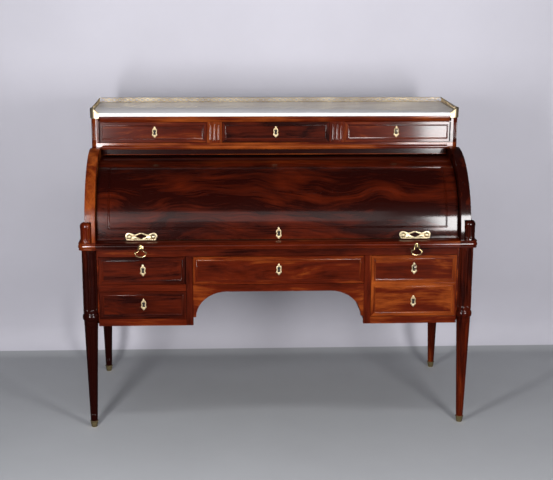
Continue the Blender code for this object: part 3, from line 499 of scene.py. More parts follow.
def gilt_brass(tarnish=0.5, name="gilt_brass", polish=0.34):
    """Cast and gilded brass: warm, rubbed bright, with brown tarnish in slow patches."""
    if name in bpy.data.materials:
        return bpy.data.materials[name]
    look = bpy.context.scene.desk
    material, wires, shader, mapping = new_shader(name)
    dull = wires.group(group_of("handling"), Vector=mapping.outputs["Vector"], Amount=tarnish)
    grain = wires.noise(mapping.outputs["Vector"], scale=420.0, detail=3.0)
    wires.link(wires.mix(dull.outputs["Mask"], four(look.brass), (0.30, 0.19, 0.075, 1)),
               shader.inputs["Base Color"])
    roughness = wires.math("ADD", wires.math("MULTIPLY", dull.outputs["Mask"], 0.25),
                           wires.spread(grain, 0.3, 0.7, polish - 0.08, polish + 0.06))
    wires.feed(shader, Roughness=roughness, Normal=wires.bump(grain, 0.18, 0.0003), Metallic=1.0)
    return material


def key_steel():
    """Old steel of the keys, grey-brown and scratched."""
    name = "key_metal"
    if name in bpy.data.materials:
        return bpy.data.materials[name]
    material, wires, shader, mapping = new_shader(name)
    dull = wires.group(group_of("handling"), Vector=mapping.outputs["Vector"], Amount=0.8)
    scratch = wires.noise(wires.vector("MULTIPLY", mapping.outputs["Vector"], (900.0, 60.0, 900.0)),
                          detail=2.0)
    wires.link(wires.mix(dull.outputs["Mask"], (0.56, 0.50, 0.42, 1), (0.25, 0.19, 0.13, 1)),
               shader.inputs["Base Color"])
    wires.feed(shader, Roughness=wires.spread(scratch, 0.3, 0.7, 0.22, 0.45),
               Normal=wires.bump(scratch, 0.2, 0.0002), Metallic=1.0)
    return material


def veined_marble():
    """Pale marble: cloudy grey-white with thin bent veins, polished."""
    name = "veined_marble"
    if name in bpy.data.materials:
        return bpy.data.materials[name]
    look = bpy.context.scene.desk
    material, wires, shader, mapping = new_shader(name)
    place = mapping.outputs["Vector"]
    cloud = wires.noise(place, scale=4.5, detail=7.0, roughness=0.62, distortion=0.8)
    bent = wires.vector("ADD", place, wires.vector("MULTIPLY", (0.22, 0.22, 0.22),
                                                   wires.mix(1.0, (0, 0, 0, 1), cloud)))
    line = wires.noise(wires.vector("MULTIPLY", bent, (3.4, 7.0, 7.0)), detail=8.0, roughness=0.55,
                       distortion=1.2)
    vein = wires.spread(wires.math("ABSOLUTE", wires.math("SUBTRACT", line, 0.5), 0.0), 0.0, 0.035, 1.0,
                        0.0)
    base = wires.mix(wires.spread(cloud, 0.35, 0.7), four(look.marble),
                     tuple(0.86 * value for value in look.marble) + (1.0,))
    colour = wires.mix(wires.math("MULTIPLY", vein, 0.16), base, (0.42, 0.42, 0.43, 1))
    wires.feed(shader, Base_Color=colour, Roughness=wires.spread(cloud, 0.3, 0.7, 0.10, 0.24),
               Normal=wires.bump(cloud, 0.04, 0.0005), Subsurface_Weight=0.08,
               Subsurface_Radius=(0.01, 0.009, 0.008))
    return material


def writing_leather(low, high):
    """Green leather: a pebbled grain, paler where rubbed, and a tooled gilt line inside its edge."""
    name = "writing_leather"
    if name in bpy.data.materials:
        return bpy.data.materials[name]
    look = bpy.context.scene.desk
    material, wires, shader, mapping = new_shader(name)
    place = mapping.outputs["Vector"]
    pebble = wires.tree.nodes.new("ShaderNodeTexVoronoi")
    pebble.inputs["Scale"].default_value = 700.0
    wires.link(place, pebble.inputs["Vector"])
    rubbed = wires.group(group_of("handling"), Vector=place, Amount=0.7)
    apart = wires.tree.nodes.new("ShaderNodeSeparateXYZ")
    wires.link(place, apart.inputs["Vector"])
    middle = (np.asarray(low) + np.asarray(high)) / 2
    half = (np.asarray(high) - np.asarray(low)) / 2
    reach = [wires.math("ABSOLUTE", wires.math("SUBTRACT", apart.outputs[axis], float(middle[axis])),
                        0.0) for axis in (0, 1)]
    edge = wires.math("MINIMUM", wires.math("SUBTRACT", float(half[0]), reach[0]),
                      wires.math("SUBTRACT", float(half[1]), reach[1]))
    line = wires.math("LESS_THAN", wires.math("ABSOLUTE", wires.math("SUBTRACT", edge, 0.028), 0.0), 0.0016)
    colour = wires.mix(rubbed.outputs["Mask"], four(look.leather),
                       tuple(2.2 * value for value in look.leather) + (1.0,))
    wires.link(wires.mix(line, colour, (0.62, 0.42, 0.14, 1)), shader.inputs["Base Color"])
    wires.link(wires.spread(pebble.outputs["Distance"], 0.0, 0.6, 0.5, 0.34), shader.inputs["Roughness"])
    wires.link(wires.bump(pebble.outputs["Distance"], 0.35, 0.0004), shader.inputs["Normal"])
    return material


def studio_paint(name, colour, roughness):
    """Matt painted floor or wall with a faint unevenness, seen through from behind."""
    material, wires, shader, mapping = new_shader(name)
    cloud = wires.noise(mapping.outputs["Vector"], scale=1.6, detail=5.0, roughness=0.6)
    darker = tuple(0.93 * value for value in colour[:3]) + (1.0,)
    wires.link(wires.mix(wires.spread(cloud, 0.3, 0.7), four(colour), darker), shader.inputs["Base Color"])
    shader.inputs["Roughness"].default_value = roughness
    shader.inputs["Specular IOR Level"].default_value = 0.25
    nodes, links = material.node_tree.nodes, material.node_tree.links
    behind, path = nodes.new("ShaderNodeNewGeometry"), nodes.new("ShaderNodeLightPath")
    clear, either = nodes.new("ShaderNodeBsdfTransparent"), nodes.new("ShaderNodeMixShader")
    seen_from_behind = wires.math("MULTIPLY", behind.outputs["Backfacing"], path.outputs["Is Camera Ray"])
    links.new(seen_from_behind, either.inputs[0])
    links.new(shader.outputs["BSDF"], either.inputs[1])
    links.new(clear.outputs["BSDF"], either.inputs[2])
    links.new(either.outputs["Shader"], nodes["Material Output"].inputs["Surface"])
    return material


# ---------------------------------------------------------------- legs and columns


def flute_depth(angle_count, flutes, radius, share, depth, heights, low, high):
    """Depth of round-ended flutes at (height k, angle i): depth sqrt(1 - t^2 - e^2), where t runs from -1
    to 1 over a flute's width and e grows from 0 to 1 over half that width past the flute's ends."""
    angle = 2 * pi * np.arange(angle_count) / angle_count
    pitch = 2 * pi / flutes
    off = (angle + pitch / 2) % pitch - pitch / 2
    t = off[None] / (pitch * share / 2)
    half = np.asarray(radius, float).reshape(-1, 1) * pitch * share / 2
    heights = np.asarray(heights, float).reshape(-1, 1)
    e = np.maximum(0, np.maximum(heights - high, low - heights)) / half
    return depth * np.sqrt(np.clip(1 - t ** 2 - e ** 2, 0, None))


def run(low, high, reach, count=7):
    """Heights for a fluted stretch: close together near both ends, where the flutes round off."""
    ends = reach * (1 - np.cos(np.linspace(0, pi / 2, count)))
    return np.concatenate([low - reach + ends, high + (reach - ends)[::-1]])


def make_legs(look):
    """Each column, ring and tapered leg: r(h) is the turned profile, less the depth of the flutes. The
    taper runs from the foot to just under the ring: r = foot + (top - foot) (h - bottom) / length."""
    around = look.flutes * 16
    for side, hand in SIDES:
        for end, sign in ENDS:
            node = f"leg_{end}_{side}"
            low, high = box_of(node)
            centre = middle_of(node)[:2]
            ring = (high - low)[0] / 2
            column = ring - RING_PROJECTION
            ring_low = box_of("side_panel_" + side)[0][2] + RING_RISE
            ring_high = ring_low + RING_HEIGHT
            top = high[2]
            reach = 0.006
            heights = [top, top - 0.006]
            radius = [column, column]
            upper_span = ring_high + 0.020, top - 0.018
            upper = run(*upper_span, reach)[::-1]
            heights += list(upper)
            radius += [column] * len(upper)
            step = np.linspace(0, pi, 9)
            heights += [ring_high + 0.004, ring_high + 0.0035, ring_high]
            radius += [column, column - 0.002, column - 0.002]
            heights += list(ring_high - 0.003 - (ring_high - ring_low - 0.006) * (1 - np.cos(step)) / 2)
            radius += list(ring - 0.003 + 0.003 * np.sin(step))
            leg_top = ring_low - 0.002
            heights += [ring_low, leg_top]
            radius += [column - 0.0015, column - 0.0015]
            bottom = low[2]
            foot = (box_of("sabot_" + end + "_" + side)[1][0] - centre[0]) - 0.0025

            def taper(height):
                share = (np.asarray(height) - bottom) / (leg_top - bottom)
                return foot + (column - 0.0015 - foot) * share

            lower_span = bottom + 0.030, leg_top - 0.022
            lower = run(*lower_span, reach)[::-1]
            lower = np.concatenate([lower[:7], np.linspace(lower[6], lower[7], 8)[1:-1], lower[7:]])
            heights += list(lower)
            radius += list(taper(lower))
            heights += [bottom + 0.004, bottom]
            radius += [foot, foot]
            heights, radius = np.array(heights), np.array(radius)
            upper_flutes = flute_depth(around, look.flutes, radius, 0.70, look.flute_depth, heights,
                                       *upper_span)
            lower_flutes = flute_depth(around, look.flutes, radius, 0.70, 1.0, heights, *lower_span)
            cut = np.where(heights[:, None] > ring_high, upper_flutes, 0)
            cut = np.where(heights[:, None] < leg_top,
                           lower_flutes * look.flute_depth * (radius / column)[:, None], cut)
            part = turned(centre, heights, radius[:, None] - cut)
            wood = mahogany("Z", -0.62 if hand < 0 else -0.24, 0.5, 3 + hand + 2 * sign)
            finish_piece(f"column_{end}_{side}", [part], [wood], "case", node, sharp=42)
            make_sabot(f"{end}_{side}", centre)


def make_sabot(place, centre):
    """Brass shoe: a rolled collar, a waist and a swelling over the sole."""
    low, high = box_of("sabot_" + place)
    radius = (high - low)[0] / 2
    top = high[2]
    share = np.array([0, .03, .07, .12, .17, .22, .26, .30, .36, .45, .6, .78, .9, .96, 1.0])
    width = np.array([.86, .95, 1, .99, .95, .87, .82, .80, .83, .85, .80, .74, .71, .70, .66])
    part = turned(centre, top - share * top, (radius * width)[:, None])
    finish_piece(f"shoe_{place}", [part], [gilt_brass()], "case", "sabot_" + place)


def make_stubs(look):
    """Short fluted columns: a drum of radius R under a dome at (R cos^0.8 b, h sin b) for b = 0 to 86
    degrees."""
    flutes, around = 8, 8 * 16
    for side, hand in SIDES:
        for end, _ in ENDS:
            node = f"stub_column_{end}_{side}"
            low, high = box_of(node)
            centre = middle_of(node)[:2]
            radius = (high - low)[0] / 2
            bottom, top = low[2], high[2]
            shoulder = top - 0.017
            dome = np.radians(np.array([86, 76, 62, 48, 34, 20, 8, 0]))
            heights = list(shoulder + (top - shoulder) * np.sin(dome))
            width = list(radius * np.cos(dome) ** 0.8)
            span = bottom + 0.014, shoulder - 0.010
            fluted = run(*span, 0.005)[::-1]
            heights += [shoulder - 0.002] + list(fluted) + [bottom + 0.004, bottom]
            width += [radius] + [radius - 0.0008] * len(fluted) + [radius, radius]
            heights, width = np.array(heights), np.array(width)
            cut = flute_depth(around, flutes, width, 0.66, look.flute_depth, heights, *span)
            wood = mahogany("Z", -0.05 if hand < 0 else -0.45, 0.5, 7 + hand)
            part = turned(centre, heights, width[:, None] - np.where(heights[:, None] < shoulder, cut, 0))
            finish_piece(f"stub_{end}_{side}", [part], [wood], "case", node, sharp=42)


# ---------------------------------------------------------------- mouldings and slide


EDGE = np.array([  # inset from the outermost line against the share of the height, from the bottom
    (0.0035, 0.000), (0.0020, 0.020), (0.0020, 0.120), (0.0042, 0.150), (0.0048, 0.190), (0.0026, 0.240),
    (0.0008, 0.330), (0.0000, 0.440), (0.0000, 0.560), (0.0008, 0.670), (0.0026, 0.760), (0.0048, 0.810),
    (0.0042, 0.850), (0.0012, 0.880), (0.0012, 0.970), (0.0024, 1.000)])


def make_mouldings(look):
    """The moulding's edge profile carried round the ends of the case, and straight along the back."""
    for side, hand in SIDES:
        low, high = box_of("moulding_" + side)
        inner = high[0] if hand < 0 else low[0]
        outer = low[0] if hand < 0 else high[0]
        radius = look.corner_radius
        outlines = []
        for inset in EDGE[:, 0]:
            turn = radius - inset
            corner = outer - hand * radius
            front = arc((0, low[1] + radius), turn, -90, 0, 9)
            rear = arc((0, high[1] - radius), turn, 0, 90, 9)
            round_off = np.concatenate([front, rear]) * (hand, 1) + (corner, 0)
            outlines.append(np.concatenate([[(inner, low[1] + inset)], round_off,
                                            [(inner, high[1] - inset)]]))
        part = stack(outlines, low[2] + (high[2] - low[2]) * EDGE[:, 1])
        finish_piece(f"waist_moulding_{side}", [part], [mahogany("Y", -0.15, 0.4, 11)], "case",
                     "moulding_" + side)
    low, high = box_of("moulding_rear")
    outlines = [rectangle(low[0], low[1], high[0], high[1] - inset) for inset in EDGE[:, 0]]
    part = stack(outlines, low[2] + (high[2] - low[2]) * EDGE[:, 1])
    finish_piece("waist_moulding_rear", [part], [mahogany("X", -0.15, 0.4, 12)], "case", "moulding_rear")


def make_slide(look):
    """The board with the moulding's profile on its front edge, a recess, and the leather in it."""
    low, high = box_of("writing_slide")
    leather_low, leather_high = box_of("slide_leather")
    outlines = [rectangle(low[0], low[1] + inset, high[0], high[1]) for inset in EDGE[:, 0]]
    hole_low, hole_high = leather_low - GAP, leather_high + GAP
    outlines += [rectangle(*hole_low[:2], *hole_high[:2])] * 2
    part = stack(outlines, [*(low[2] + (high[2] - low[2]) * EDGE[:, 1]), high[2], hole_low[2]])
    finish_piece("slide_board", [part], [mahogany("X", -0.10, 0.7, 21)], "slide", "writing_slide")
    outlines = [rectangle(*(leather_low[:2] + inset), *(leather_high[:2] - inset)) for inset in (0.0, 0.0,
                                                                                                 0.0008)]
    part = stack(outlines, [leather_low[2], leather_high[2] - 0.0004, leather_high[2]])
    finish_piece("slide_skin", [part], [writing_leather(leather_low, leather_high)], "slide",
                 "slide_leather")


# ---------------------------------------------------------------- cheeks and fall


def make_cheeks(look):
    """Quarter-round ends. The part outside the stub column starts behind and above it."""
    axis_y, axis_z = fall_axis()
    for side, hand in SIDES:
        low, high = box_of("cheek_" + side)
        radius = axis_y - low[1]
        stub_low, stub_high = box_of(f"stub_column_front_{side}")
        split = (stub_high[0] + 0.0008) if hand < 0 else (stub_low[0] - 0.0008)
        inner = high[0] if hand < 0 else low[0]
        outer = low[0] if hand < 0 else high[0]
        step_y = box_of("box_floor")[0][1] - GAP
        step_z = box_of("box_floor")[0][2] + 0.0227

        def outline(inset, cut):
            reach = radius - inset
            last = 180 - np.degrees(np.arccos((axis_y - step_y) / reach))
            sweep = arc((axis_y, axis_z), reach, 180, last, 72)
            rear = [(step_y, step_z), (high[1] - inset, step_z), (high[1] - inset, low[2])]
            if not cut:
                return np.concatenate([[(axis_y - reach, low[2])], sweep, rear])
            top, back = stub_high[2] + 0.001, stub_high[1] + 0.001
            start = 180 - np.degrees(np.arcsin((top - axis_z) / reach))
            sweep = arc((axis_y, axis_z), reach, start, last, 71)
            return np.concatenate([[(back, low[2])], [(back, top)], sweep, rear])

        full = stack([outline(0.0012, False), outline(0, False), outline(0, False)],
                     [inner, inner + hand * 0.0012, split], "X")
        part = stack([outline(0, True), outline(0, True), outline(0.0012, True)],
                     [split, outer - hand * 0.0012, outer], "X")
        tone = 0.12 if hand < 0 else -0.55
        wood = mahogany("Z", tone, 0.6, 31 + hand)
        finish_piece(f"cheek_board_{side}", [full, part], [wood], "case", "cheek_" + side,
                     sharp=30)


def bead_height(distance, width, rise):
    """Cut of a beaded panel at a distance inside its edge: a quirk, a half round, a quirk, then flush."""
    quirk = 0.28 * width
    middle = distance - quirk - width / 2
    bead = rise * np.sqrt(np.clip(1 - (middle / (width / 2)) ** 2, 0, None))
    inside = (distance > 0) & (distance < 2 * quirk + width)
    return np.where(inside, np.where(np.abs(middle) < width / 2, bead, -0.45 * rise) - 0.15 * rise, 0.0)


def make_fall(look):
    """The curved front: points at (x, axis - r cos a, axis + r sin a), r = R + the beaded panel's cut at
    the distance to a rounded rectangle drawn on the unrolled surface."""
    axis_y, axis_z = fall_axis()
    low, high = box_of("fall_shell")
    radius = axis_y - low[1]
    first = -asin((axis_z - low[2]) / radius)
    last = pi / 2 + radians(PAST_UPRIGHT)
    band = np.linspace(-0.001, 0.016, 24)
    half = look.panel_half_width
    corner = look.panel_corner
    bottom, top = radians(look.panel_first_angle), radians(look.panel_last_angle)
    x = np.unique(np.concatenate([np.linspace(low[0], high[0], 41), -half + band, half - band]).round(6))
    a = np.unique(np.concatenate([np.linspace(first, last, 90), bottom + band / radius,
                                  top - band / radius]).round(6))
    grid_x, grid_a = np.meshgrid(x, a, indexing="xy")
    length = grid_a * radius
    middle, reach = (bottom + top) / 2 * radius, (top - bottom) / 2 * radius
    off_x = np.abs(grid_x) - (half - corner)
    off_s = np.abs(length - middle) - (reach - corner)
    outside = np.hypot(np.maximum(off_x, 0), np.maximum(off_s, 0)) + np.minimum(np.maximum(off_x, off_s),
                                                                                0) - corner
    r = radius - 0.0004 + bead_height(-outside, look.bead_width * 1.25, look.bead_rise)
    front = np.stack([grid_x, axis_y - r * np.cos(grid_a), axis_z + r * np.sin(grid_a)], -1)
    inner = radius - FALL_THICKNESS
    back = np.stack([grid_x, axis_y - inner * np.cos(grid_a), axis_z + inner * np.sin(grid_a)], -1)
    points = np.concatenate([front, back[::-1]])
    rows, columns = points.shape[:2]
    faces = quads(rows, columns, wrap_rows=True)
    count = len(a)
    index = np.arange(count - 1)
    for column in (0, columns - 1):
        ends = [index * columns + column, (index + 1) * columns + column,
                (rows - 2 - index) * columns + column, (rows - 1 - index) * columns + column]
        faces += np.stack(ends, -1).tolist()
    finish_piece("fall_board", [(points.reshape(-1, 3), faces)], [mahogany("X", -0.38, 1.6, 41)], "fall",
                 "fall_shell", sharp=50)
    for side, _ in SIDES:
        eased("fall_end_" + side, [bare_wood("Z", 5)], "fall")


# ---------------------------------------------------------------- drawers


DRAWERS = {  # drawer: tone of its front, grain seed, whether two fronts are drawn on it
    "drawer_left_upper": (-0.34, 51, False), "drawer_left_lower": (-0.34, 52, False),
    "drawer_right_deep": (0.14, 53, True), "drawer_centre": (-0.06, 54, False),
    "drawer_top_left": (-0.15, 55, False), "drawer_top_centre": (-0.30, 56, False),
    "drawer_top_right": (-0.18, 57, False)}


def front_profile(inset, look):
    """Steps (inset, depth) of a drawer front from the back of its edge to the field inside its bead."""
    ease = 0.0008
    quirk = 0.0014
    width, rise = look.bead_width, look.bead_rise
    steps = [(0.0, DRAWER_FRONT), (0.0, ease), (ease, 0.0), (inset, 0.0), (inset + 0.0002, 0.0012),
             (inset + quirk, 0.0012)]
    for angle in np.radians(np.linspace(0, 180, 9)):
        steps.append((inset + quirk + width / 2 * (1 - cos(angle)), 0.0008 - rise * sin(angle)))
    end = inset + quirk + width
    return steps + [(end + quirk, 0.0012), (end + quirk + 0.0002, 0.0006)]


def make_drawers(look):
    """Each front is a stack of rectangles, stepped and beaded; the box behind it is four boards."""
    for node, (tone, seed, double) in DRAWERS.items():
        low, high = box_of(node)
        field = mahogany("X", tone, 1.1, seed)
        border_x = mahogany("X", tone + 0.04, 0.4, seed + 20)
        border_z = mahogany("Z", tone + 0.04, 0.4, seed + 40)
        front = low[1]
        spans = [(low[2], high[2])]
        if double:
            join = look.double_line
            spans = [(low[2], join), (join, high[2])]
        parts = []
        for bottom, top in spans:
            profile = front_profile(DRAWER_BORDER, look)
            points, faces = rings((low[0], bottom), (high[0], top), front, profile)
            numbers = [1, 2, 1, 2] * (len(profile) - 1) + [1, 3 if top == high[2] and double else 0]
            parts.append((points, faces, numbers))
        woods = [field, border_x, border_z, mahogany("X", tone - 0.22, 1.1, seed + 60)]
        finish_piece(node + "_front", parts, woods, node, node, sharp=30)
        panel = front + DRAWER_FRONT - 0.001
        under, rim = low[2] + 0.001, high[2] - DRAWER_DROP
        left, right, back = low[0] + DRAWER_WALL, high[0] - DRAWER_WALL, high[1]
        lining, cross = bare_wood("Y", seed), bare_wood("X", seed)
        shelves = [
            (*brick((low[0], panel, under), (left, back, rim)), 0),
            (*brick((right, panel, under), (high[0], back, rim)), 0),
            (*brick((left, back - DRAWER_WALL, under), (right, back, rim - 0.004)), 1),
            (*brick((left, panel, under), (right, back - DRAWER_WALL, low[2] + DRAWER_FLOOR)), 1)]
        finish_piece(node + "_box", shelves, [lining, cross], node, ())


# ---------------------------------------------------------------- upper box, marble and gallery


def fluted_edge(start, end, count, flutes, share, depth):
    """Depth of flutes along a straight or bent edge, at count points: depth sqrt(1 - t^2) in each flute."""
    along = np.linspace(start, end, count)
    pitch = 1.0 / flutes
    off = along % pitch - pitch / 2
    return depth * np.sqrt(np.clip(1 - (off / (pitch * share / 2)) ** 2, 0, None))


def fade(heights, low, high, reach):
    """1 along a flute and a quarter circle down to 0 past its ends."""
    heights = np.asarray(heights, float)
    e = np.maximum(0, np.maximum(heights - high, low - heights)) / reach
    return np.sqrt(np.clip(1 - e ** 2, 0, None))


def make_upper_box(look):
    """Corner stiles with three flutes on a quarter round, x = c + r cos a and y = c + r sin a, and
    partitions with three flutes on a flat face, then the floor and the top rail."""
    low, high = box_of("box_floor")
    side_low, side_high = box_of("box_side_right")
    front = side_low[1]
    half = side_high[0]
    margin = 0.009
    bottom, top = side_low[2], side_high[2]
    heights = np.concatenate([[bottom, bottom + 0.003],
                              run(bottom + margin + 0.006, top - margin - 0.008 - 0.012, 0.003),
                              [top - 0.0005, top]])
    reach = fade(heights, bottom + margin + 0.006, top - margin - 0.020, 0.003)
    for side, hand in SIDES:
        count = 61
        angle = np.radians(np.linspace(-90, 0, count))
        cut = fluted_edge(0.0, 1.0, count, 3, 0.62, look.flute_depth * 0.85)
        r = BOX_CORNER - reach[:, None] * cut[None]
        corner = np.array([half - BOX_CORNER, front + BOX_CORNER])
        x = hand * (corner[0] + r * np.cos(angle))
        y = corner[1] + r * np.sin(angle)
        cheek_x = box_of("cheek_right")[0][0]
        rear = side_high[1]
        back = [(hand * half, rear), (hand * cheek_x, rear), (hand * cheek_x, high[1] + GAP),
                (hand * side_low[0], high[1] + GAP), (hand * side_low[0], front)]
        back = np.broadcast_to(np.array(back), (len(heights), 5, 2))
        outlines = np.concatenate([np.stack([x, y], -1), back], 1)
        wood = mahogany("Z", -0.12, 0.5, 61 + hand)
        finish_piece(f"corner_stile_{side}", [stack(outlines, heights)], [wood], "case", f"box_side_{side}",
                     sharp=32)
        node = f"box_partition_{side}"
        p_low, p_high = box_of(node)
        width = p_high[0] - p_low[0]
        flat = 0.0065
        count = 61
        along = np.linspace(flat, width - flat, count)
        cut = fluted_edge(0.0, 1.0, count, 3, 0.72, look.flute_depth * 0.9)
        hs = np.concatenate([[p_low[2], p_low[2] + 0.002], run(p_low[2] + 0.013, p_high[2] - 0.013, 0.004),
                             [p_high[2] - 0.0005, p_high[2]]])
        fading = fade(hs, p_low[2] + 0.013, p_high[2] - 0.013, 0.004)
        x = np.concatenate([[0.0], along, [width]])
        y = np.concatenate([[0.0], cut, [0.0]])
        face = np.stack([np.broadcast_to(p_low[0] + x, (len(hs), len(x))),
                         p_low[1] + fading[:, None] * y[None]], -1)
        web = 0.008
        centre = (p_low[0] + p_high[0]) / 2
        thick = p_low[1] + STILE_FRONT
        tail = [(p_high[0], thick), (centre + web, thick), (centre + web, p_high[1]),
                (centre - web, p_high[1]),
                (centre - web, thick), (p_low[0], thick)]
        outlines = np.concatenate([face, np.broadcast_to(np.array(tail), (len(hs), 6, 2))], 1)
        finish_piece(f"fluted_stile_{side}", [stack(outlines, hs)], [mahogany("Z", -0.02, 0.4, 65 + hand)],
                     "case", node, sharp=32)
    make_box_floor(low, high, front, half)
    t_low, t_high = box_of("box_top")
    ease = np.array([0.0015, 0.0, 0.0, 0.0012])
    outlines = [rectangle(t_low[0], t_low[1] + inset, t_high[0], t_high[1]) for inset in ease]
    part = stack(outlines, [t_low[2], t_low[2] + 0.002, t_high[2] - 0.0015, t_high[2]])
    finish_piece("top_rail", [part], [mahogany("X", 0.10, 0.5, 67)], "case", "box_top")


def make_box_floor(low, high, front, half):
    """The floor board with its rounded front corners, the bead along it and the fascia hung under it."""
    bottom = box_of("box_side_right")[0][2] - GAP - FLOOR_THICKNESS
    top = bottom + FLOOR_THICKNESS
    ease = 0.0010
    outlines = []
    for inset in (ease, 0.0, 0.0, ease):
        right = arc((half - BOX_CORNER, front + BOX_CORNER), BOX_CORNER - inset, -90, 0, 13)
        left = right[::-1] * (-1, 1)
        rear = [(half - inset, high[1]), (inset - half, high[1])]
        outlines.append(np.concatenate([left, right, rear]))
    board = stack(outlines, [bottom, bottom + ease, top - ease, top])
    reach = front - low[1]
    bead_half = BEAD_HALF_LENGTH
    bead_low, bead_high = bottom + 0.0005, bottom + BEAD_HEIGHT
    share = np.linspace(0, pi, 17)
    out = np.concatenate([[0.25], 0.25 + 0.75 * np.sin(share) ** 0.8, [0.25]]) * reach
    z = np.concatenate([[bead_low],
                        (bead_low + bead_high) / 2 - np.cos(share) * (bead_high - bead_low) * 0.44,
                        [bead_high]])
    outlines = [[(-bead_half, front + 0.002), (-bead_half + 0.35 * (reach - o), front - o),
                 (bead_half - 0.35 * (reach - o), front - o), (bead_half, front + 0.002)] for o in out]
    bead = stack(outlines, z)
    face = front + FASCIA_SETBACK
    fascia_half = bead_half - 0.002
    fascia = brick((-fascia_half, face, low[2]), (fascia_half, face + FASCIA_THICKNESS, bottom + 0.0005))
    strip = brick((-fascia_half, face - 0.0012, low[2]), (fascia_half, face + 0.001, low[2] + 0.0028),
                  0.0005)
    # The fascia's wood (tone -0.66) is far darker than the floor and bead: painted shade for its place in
    # the recess under the bead; the strip at its foot keeps the floor's wood.
    woods = [mahogany("X", 0.05, 0.5, 71), mahogany("X", 0.10, 0.4, 72), mahogany("X", -0.66, 0.4, 73)]
    parts = [(*board, 0), (*bead, 1), (*fascia, 2), (*strip, 0)]
    finish_piece("cornice_floor", parts, woods, "case", "box_floor", sharp=32)


def make_marble(look):
    """A slab with round front corners; its outline is drawn in by the ease near both faces."""
    low, high = box_of("marble_top")
    ease = np.array([0.0022, 0.0012, 0.0004, 0.0])
    rise = np.array([0.0, 0.0005, 0.0014, 0.0026])
    z = np.concatenate([low[2] + rise, high[2] - rise[::-1]])
    outlines = []
    for inset in np.concatenate([ease, ease[::-1]]):
        right = arc((high[0] - BOX_CORNER, low[1] + BOX_CORNER), BOX_CORNER - inset, -90, 0, 13)
        left = right[::-1] * (-1, 1)
        outlines.append(np.concatenate([left, right,
                                        [(high[0] - inset, high[1] - inset),
                                         (low[0] + inset, high[1] - inset)]]))
    finish_piece("marble_slab", [stack(outlines, z)], [veined_marble()], "case", "marble_top",
                 sharp=50)


def frame_link(half_width, half_height, count):
    """A flat oval link: points (w cos a, +-t, h sin a), with w and h drawn in by the bar's width."""
    a = 2 * pi * np.arange(count) / count
    bar, thick = 0.0026, 0.0010
    section = [(0.0, thick), (0.0, -thick), (bar, -thick), (bar, thick)]
    points = [np.stack([(half_width - inset) * np.cos(a), np.full(count, depth),
                        (half_height - inset) * np.sin(a)], -1)
              for inset, depth in section]
    return np.stack(points, 1).reshape(-1, 3), quads(count, 4, wrap_rows=True, wrap_columns=True)


def make_gallery(look):
    """Two flat rails along three sides, with rings and slim ovals in turn between them."""
    low, high = box_of("gallery")
    marble_low, marble_high = box_of("marble_top")
    base, top = marble_high[2] + GAP, high[2]
    rail = look.gallery_rail
    inset = 0.0022
    start_y = marble_low[1] + 0.030
    x0, x1, y1 = marble_low[0] + inset, marble_high[0] - inset, marble_high[1] - inset
    corners = np.array([(x0, start_y), (x0, y1), (x1, y1), (x1, start_y)])
    parts = []
    for z in (base + rail, top - rail):
        half = rail * 1.15
        outer = np.array([(-half, 0), (-half, half), (half, half), (half, 0)]) + corners
        inner = np.array([(half, 0), (half, -half), (-half, -half), (-half, 0)]) + corners
        outlines = [np.concatenate([outer + k * (inner - outer) * 0.25,
                                    (inner - k * (inner - outer) * 0.25)[::-1]]) for k in (1, 0, 0, 1)]
        parts.append(stack(outlines, [z - rail, z - rail * 0.4, z + rail * 0.4, z + rail]))
    middle = (top + base) / 2
    pitch = look.gallery_pitch
    reach = (top - base) / 2 - rail * 1.2
    links = [frame_link(reach * 0.92, reach * 0.92, 14),
             frame_link(pitch / 2 - reach * 0.72, reach * 0.50, 12)]
    runs = [((x0, start_y), (x0, y1)), ((x0, y1), (x1, y1)), ((x1, y1), (x1, start_y))]
    for begin, end in np.array(runs):
        length = np.linalg.norm(end - begin)
        direction = (end - begin) / length
        across = np.array([-direction[1], direction[0]])
        number = int((length - 2 * reach) / pitch)
        first = (length - number * pitch) / 2
        for shift, (local, link_faces) in zip((0.0, 0.5), links):
            at = first + pitch * (np.arange(number + (shift == 0.0)) + shift)
            centre = begin + at[:, None] * direction
            x = centre[:, :1] + local[None, :, 0] * direction[0] + local[None, :, 1] * across[0]
            y = centre[:, 1:] + local[None, :, 0] * direction[1] + local[None, :, 1] * across[1]
            z = middle + np.broadcast_to(local[None, :, 2], x.shape)
            faces = np.array(link_faces)[None] + len(local) * np.arange(len(at))[:, None, None]
            parts.append((np.stack([x, y, z], -1).reshape(-1, 3), faces.reshape(-1, 4).tolist()))
    finish_piece("gallery_fret", parts, [gilt_brass(0.9, "gallery_brass", 0.40)], "case", "gallery",
                 sharp=40)
    make_gallery_corners(low, high, marble_low, marble_high)


